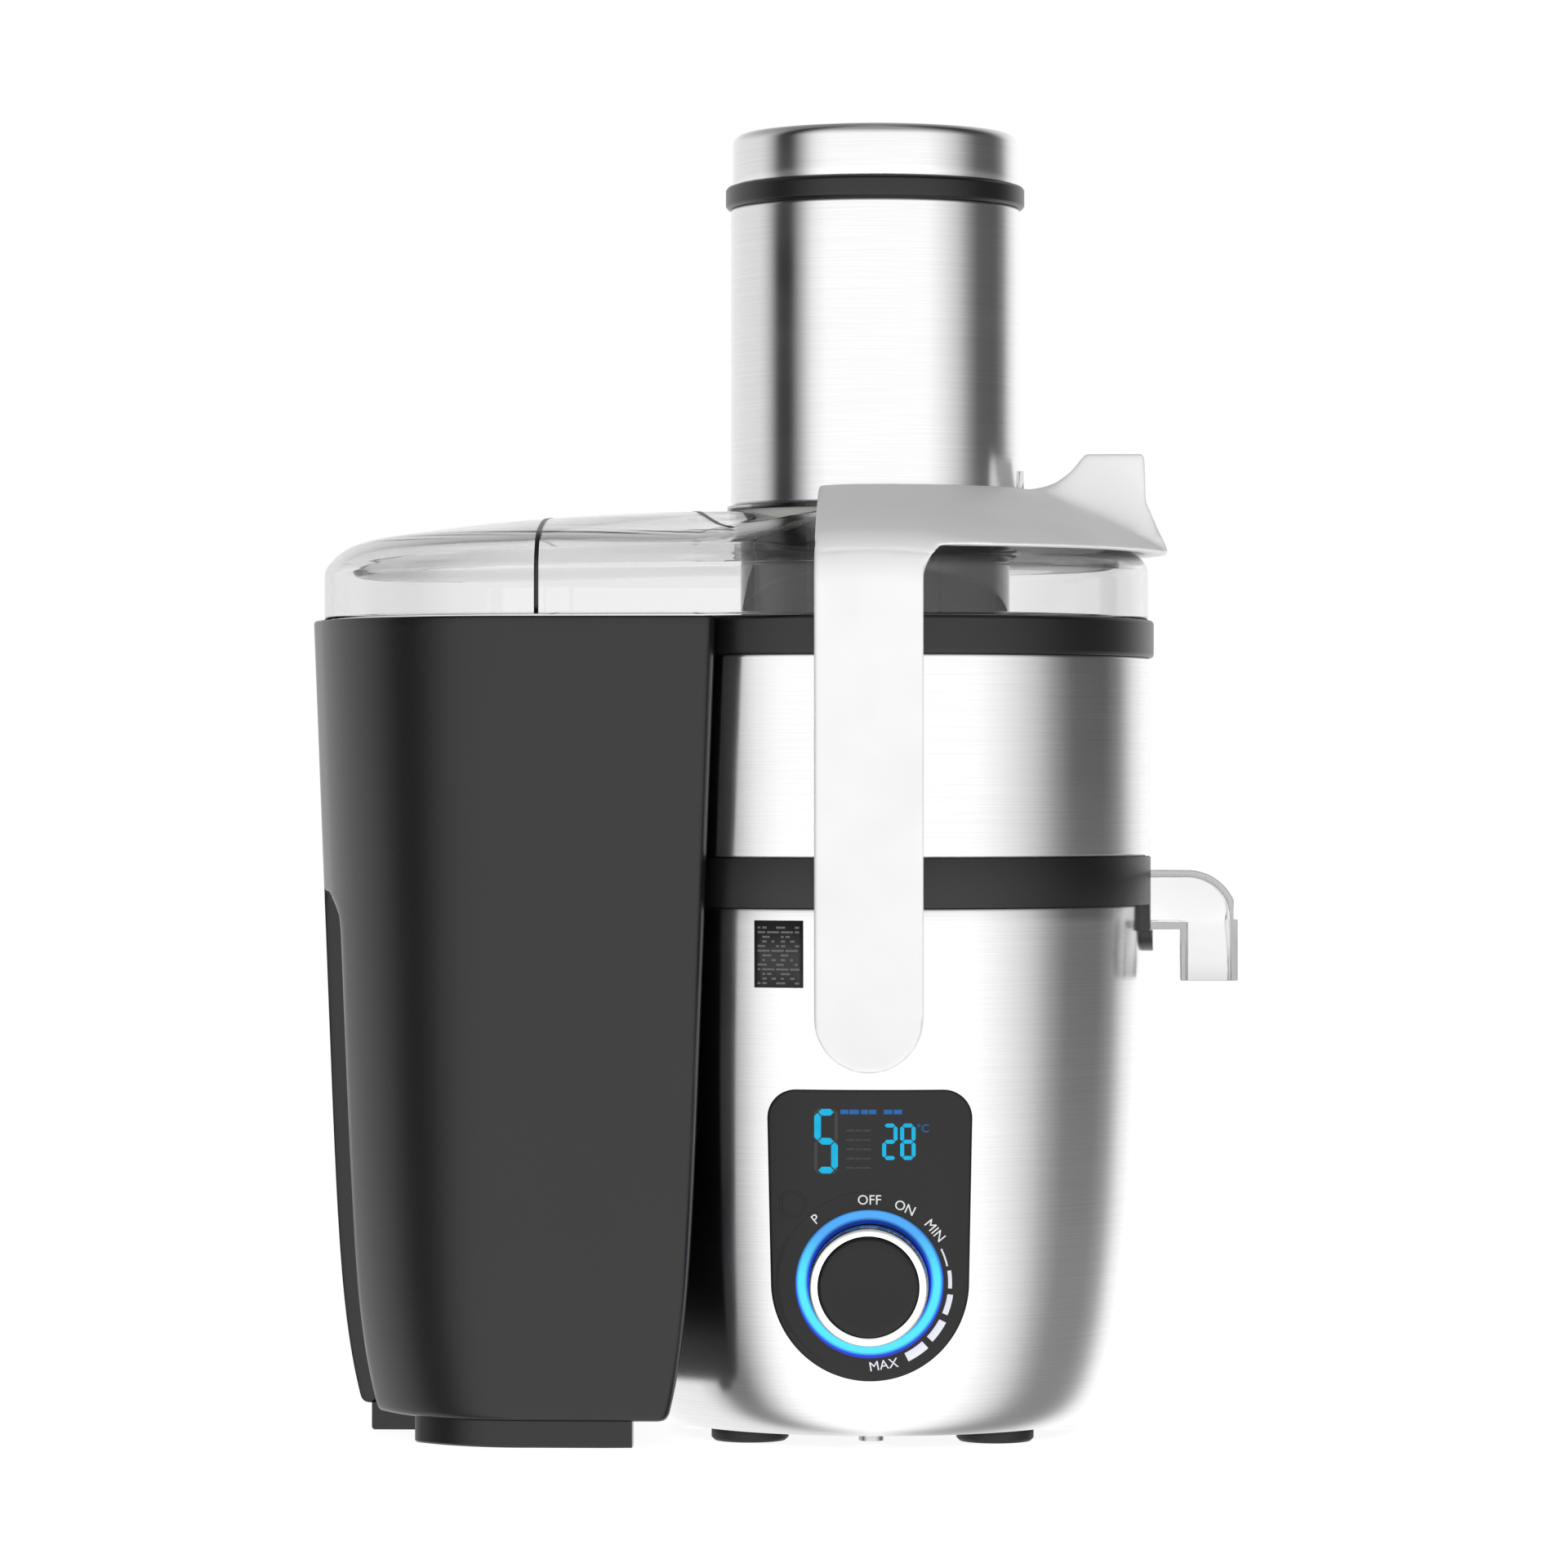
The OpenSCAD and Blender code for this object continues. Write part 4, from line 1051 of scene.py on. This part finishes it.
def make_bin():
    """The open bin: outer wall, lip, inner wall and floor."""
    foot = [(4.0, BIN_LOW), (2.0, BIN_LOW), (0.9, BIN_LOW + 0.35), (0.25, BIN_LOW + 1.1), (0, BIN_LOW + 2.2)]
    heights = [13, 16, 20, 25, 30, 36, 43, 50, 60, 70, 80, 90, 100, 112, 124, 136, 146, 154, 159, 162,
               164.5, 167, 169, 170.6, 172, 173.2, 174, 174.6, 175, 175.6, 178, 185, 195, 206, 218, 230,
               242, 252, 258]
    lip = [(0, BIN_TOP - 0.9), (0.15, BIN_TOP - 0.35), (0.5, BIN_TOP), (BIN_WALL - 0.5, BIN_TOP),
           (BIN_WALL - 0.1, BIN_TOP - 0.35), (BIN_WALL, BIN_TOP - 0.9)]
    levels = foot + [(0, z) for z in heights] + lip + [(BIN_WALL, z) for z in reversed(heights)]
    rows = [[(x, y, z) for x, y in bin_loop(d, z)] for d, z in levels]
    floor = BIN_LOW + BIN_WALL
    rows.append([(x, y, floor) for x, y in bin_loop(BIN_WALL + 1.5, floor + 0.4)])
    verts, faces = skin(rows)
    width = len(rows[0])
    faces.append(tuple(reversed(range(width))))
    faces.append(tuple(range(len(verts) - width, len(verts))))
    dress(new_object("bin_shell", verts, faces), "pulp_bin", BIN, ["pulp_bin"])


make_bin()


def bar(line, wide, low, high):
    """A bar with softened edges that follows a line in plan; its width is laid inwards of the line."""
    soft, blunt = 0.6, 0.7
    last = len(line) - 1
    rows = []
    for k, (x, y) in enumerate(line):
        ahead, behind = line[min(k + 1, last)], line[max(k - 1, 0)]
        way = (ahead[0] - behind[0], ahead[1] - behind[1])
        size = math.hypot(*way)
        inward = (way[1] / size, -way[0] / size)
        a = blunt if k in (0, last) else 0.0
        b = wide - a
        section = [(a, low + soft), (a + soft, low), (b - soft, low), (b, low + soft), (b, high), (a, high)]
        rows.append([(x + inward[0] * s, y + inward[1] * s, z) for s, z in section])
    verts, faces = skin(rows)
    faces += [tuple(reversed(range(6))), tuple(range(len(verts) - 6, len(verts)))]
    return verts, faces


def make_bin_feet():
    """Two bars under the bin's long sides that follow its outline, and a shorter one under the grip."""
    high = BIN_LOW + 0.3
    edge = [(x, y) for x, y in bin_loop(3.2, BIN_LOW) if y < -48 and -146 <= x <= -83]
    edge.sort(reverse=True)
    edge.insert(0, (-75, edge[0][1]))
    front = bar(edge, 9.5, 0, high)
    rear = ([(x, -y, z) for x, y, z in front[0]], [tuple(reversed(f)) for f in front[1]])
    grip_x, grip_half = -163.2, 11.8
    far = bar([(grip_x, lerp(-grip_half, grip_half, k / 4)) for k in range(5)], 21, 0, high)
    piece = new_object("bin_bars", *joined([front, rear, far]))
    dress(piece, "pulp_bin", BIN, ["bin_feet"])


make_bin_feet()


# ---------------------------------------------------------------- locking arm
def welded(obj):
    """Joins the points that a CAD mesh repeats along its edges."""
    obj.modifiers.new("weld", "WELD").merge_threshold = 1e-5


def softened(node, name, voxel, rounds):
    """A copy of a CAD shape with its edges rounded: remeshed in small voxels, then relaxed."""
    obj = bpy.data.objects.new(name, frame["nodes"][node].data.copy())
    bpy.context.scene.collection.objects.link(obj)
    welded(obj)
    remesh = obj.modifiers.new("remesh", "REMESH")
    remesh.mode = "VOXEL"
    remesh.voxel_size = voxel * MM
    remesh.adaptivity = 0.0
    relax = obj.modifiers.new("relax", "SMOOTH")
    relax.iterations = rounds
    relax.factor = 0.5
    bpy.context.view_layer.update()
    mesh = bpy.data.meshes.new_from_object(obj.evaluated_get(bpy.context.evaluated_depsgraph_get()))
    obj.modifiers.clear()
    obj.data = mesh
    mesh.polygons.foreach_set("use_smooth", [True] * len(mesh.polygons))
    return obj


def eased_arm(obj, bend=20.0, pivot=136.0, leg=96.3, far=175.5):
    """Rounds the bend where each leg turns into the bridge, and lets the tab grow out of the bridge.

    bend is the new bend's radius; the legs' outer faces stand leg out from the middle, and the
    bridge's top lies far out from the arm's pivot.
    """
    foot = obj.vertex_groups.new(name="foot")
    side = leg - bend
    for v in obj.data.vertices:
        x, y, z = (v.co.x - AXIS_X) / MM, abs(v.co.y) / MM, v.co.z / MM
        above = math.sqrt(x * x + y * y + (z - pivot) ** 2) - far
        if x > 50 and z > 289 and y < 24:
            foot.add([v.index], max(0.0, 1 - abs(above) / 8), "REPLACE")
        if abs(x) > 45 or z < 240:
            continue
        reach = math.sqrt(far ** 2 - x * x)
        start = pivot + math.sqrt((reach - bend) ** 2 - side ** 2)
        corner = pivot + math.sqrt(reach ** 2 - leg ** 2)
        lean = math.atan2(y, z - pivot)
        lean_low = math.asin(side / (reach - bend))
        lean_high = math.asin(leg / reach)
        depth = min(leg - y, reach - math.hypot(y, z - pivot))
        middle = (lean_low + math.pi / 2) / 2
        if lean > lean_high and z > start:
            turn = lerp(math.pi / 2, middle, min(1.0, (z - start) / (corner - start)))
        elif lean_low < lean <= lean_high:
            turn = lerp(lean_low, middle, (lean - lean_low) / (lean_high - lean_low))
        else:
            continue
        v.co.y = math.copysign(side + (bend - depth) * math.sin(turn), v.co.y) * MM
        v.co.z = (start + (bend - depth) * math.cos(turn)) * MM
    relax = obj.modifiers.new("foot", "SMOOTH")
    relax.vertex_group = "foot"
    relax.iterations = 90
    return obj


ARM_HOOP = eased_arm(softened("locking_arm", "arm_hoop", 0.9, 8))
dress(ARM_HOOP, "locking_arm", ARM, ["locking_arm"])


# ---------------------------------------------------------------- CAD pieces that keep their shape
BEVELLED = ("juice_spout", "cord_gland", "rubber_feet", "top_deck", "arm_pivots", "feed_chute")
SLOT_OF = {s["node"]: s["material_slot"] for s in frame["record"]["subparts"]}
for node_name, node_object in frame["nodes"].items():
    node_object.data.materials.clear()
    node_object.data.materials.append(MATERIALS[SLOT_OF[node_name]])
    if node_name in BEVELLED:
        welded(node_object)
        bevel = node_object.modifiers.new("edges", "BEVEL")
        bevel.width = 0.35 * MM
        bevel.segments = 2
        bevel.limit_method = "ANGLE"
        bevel.angle_limit = math.radians(50)
        bevel.use_clamp_overlap = True
    smooth_by_angle(node_object, 30)
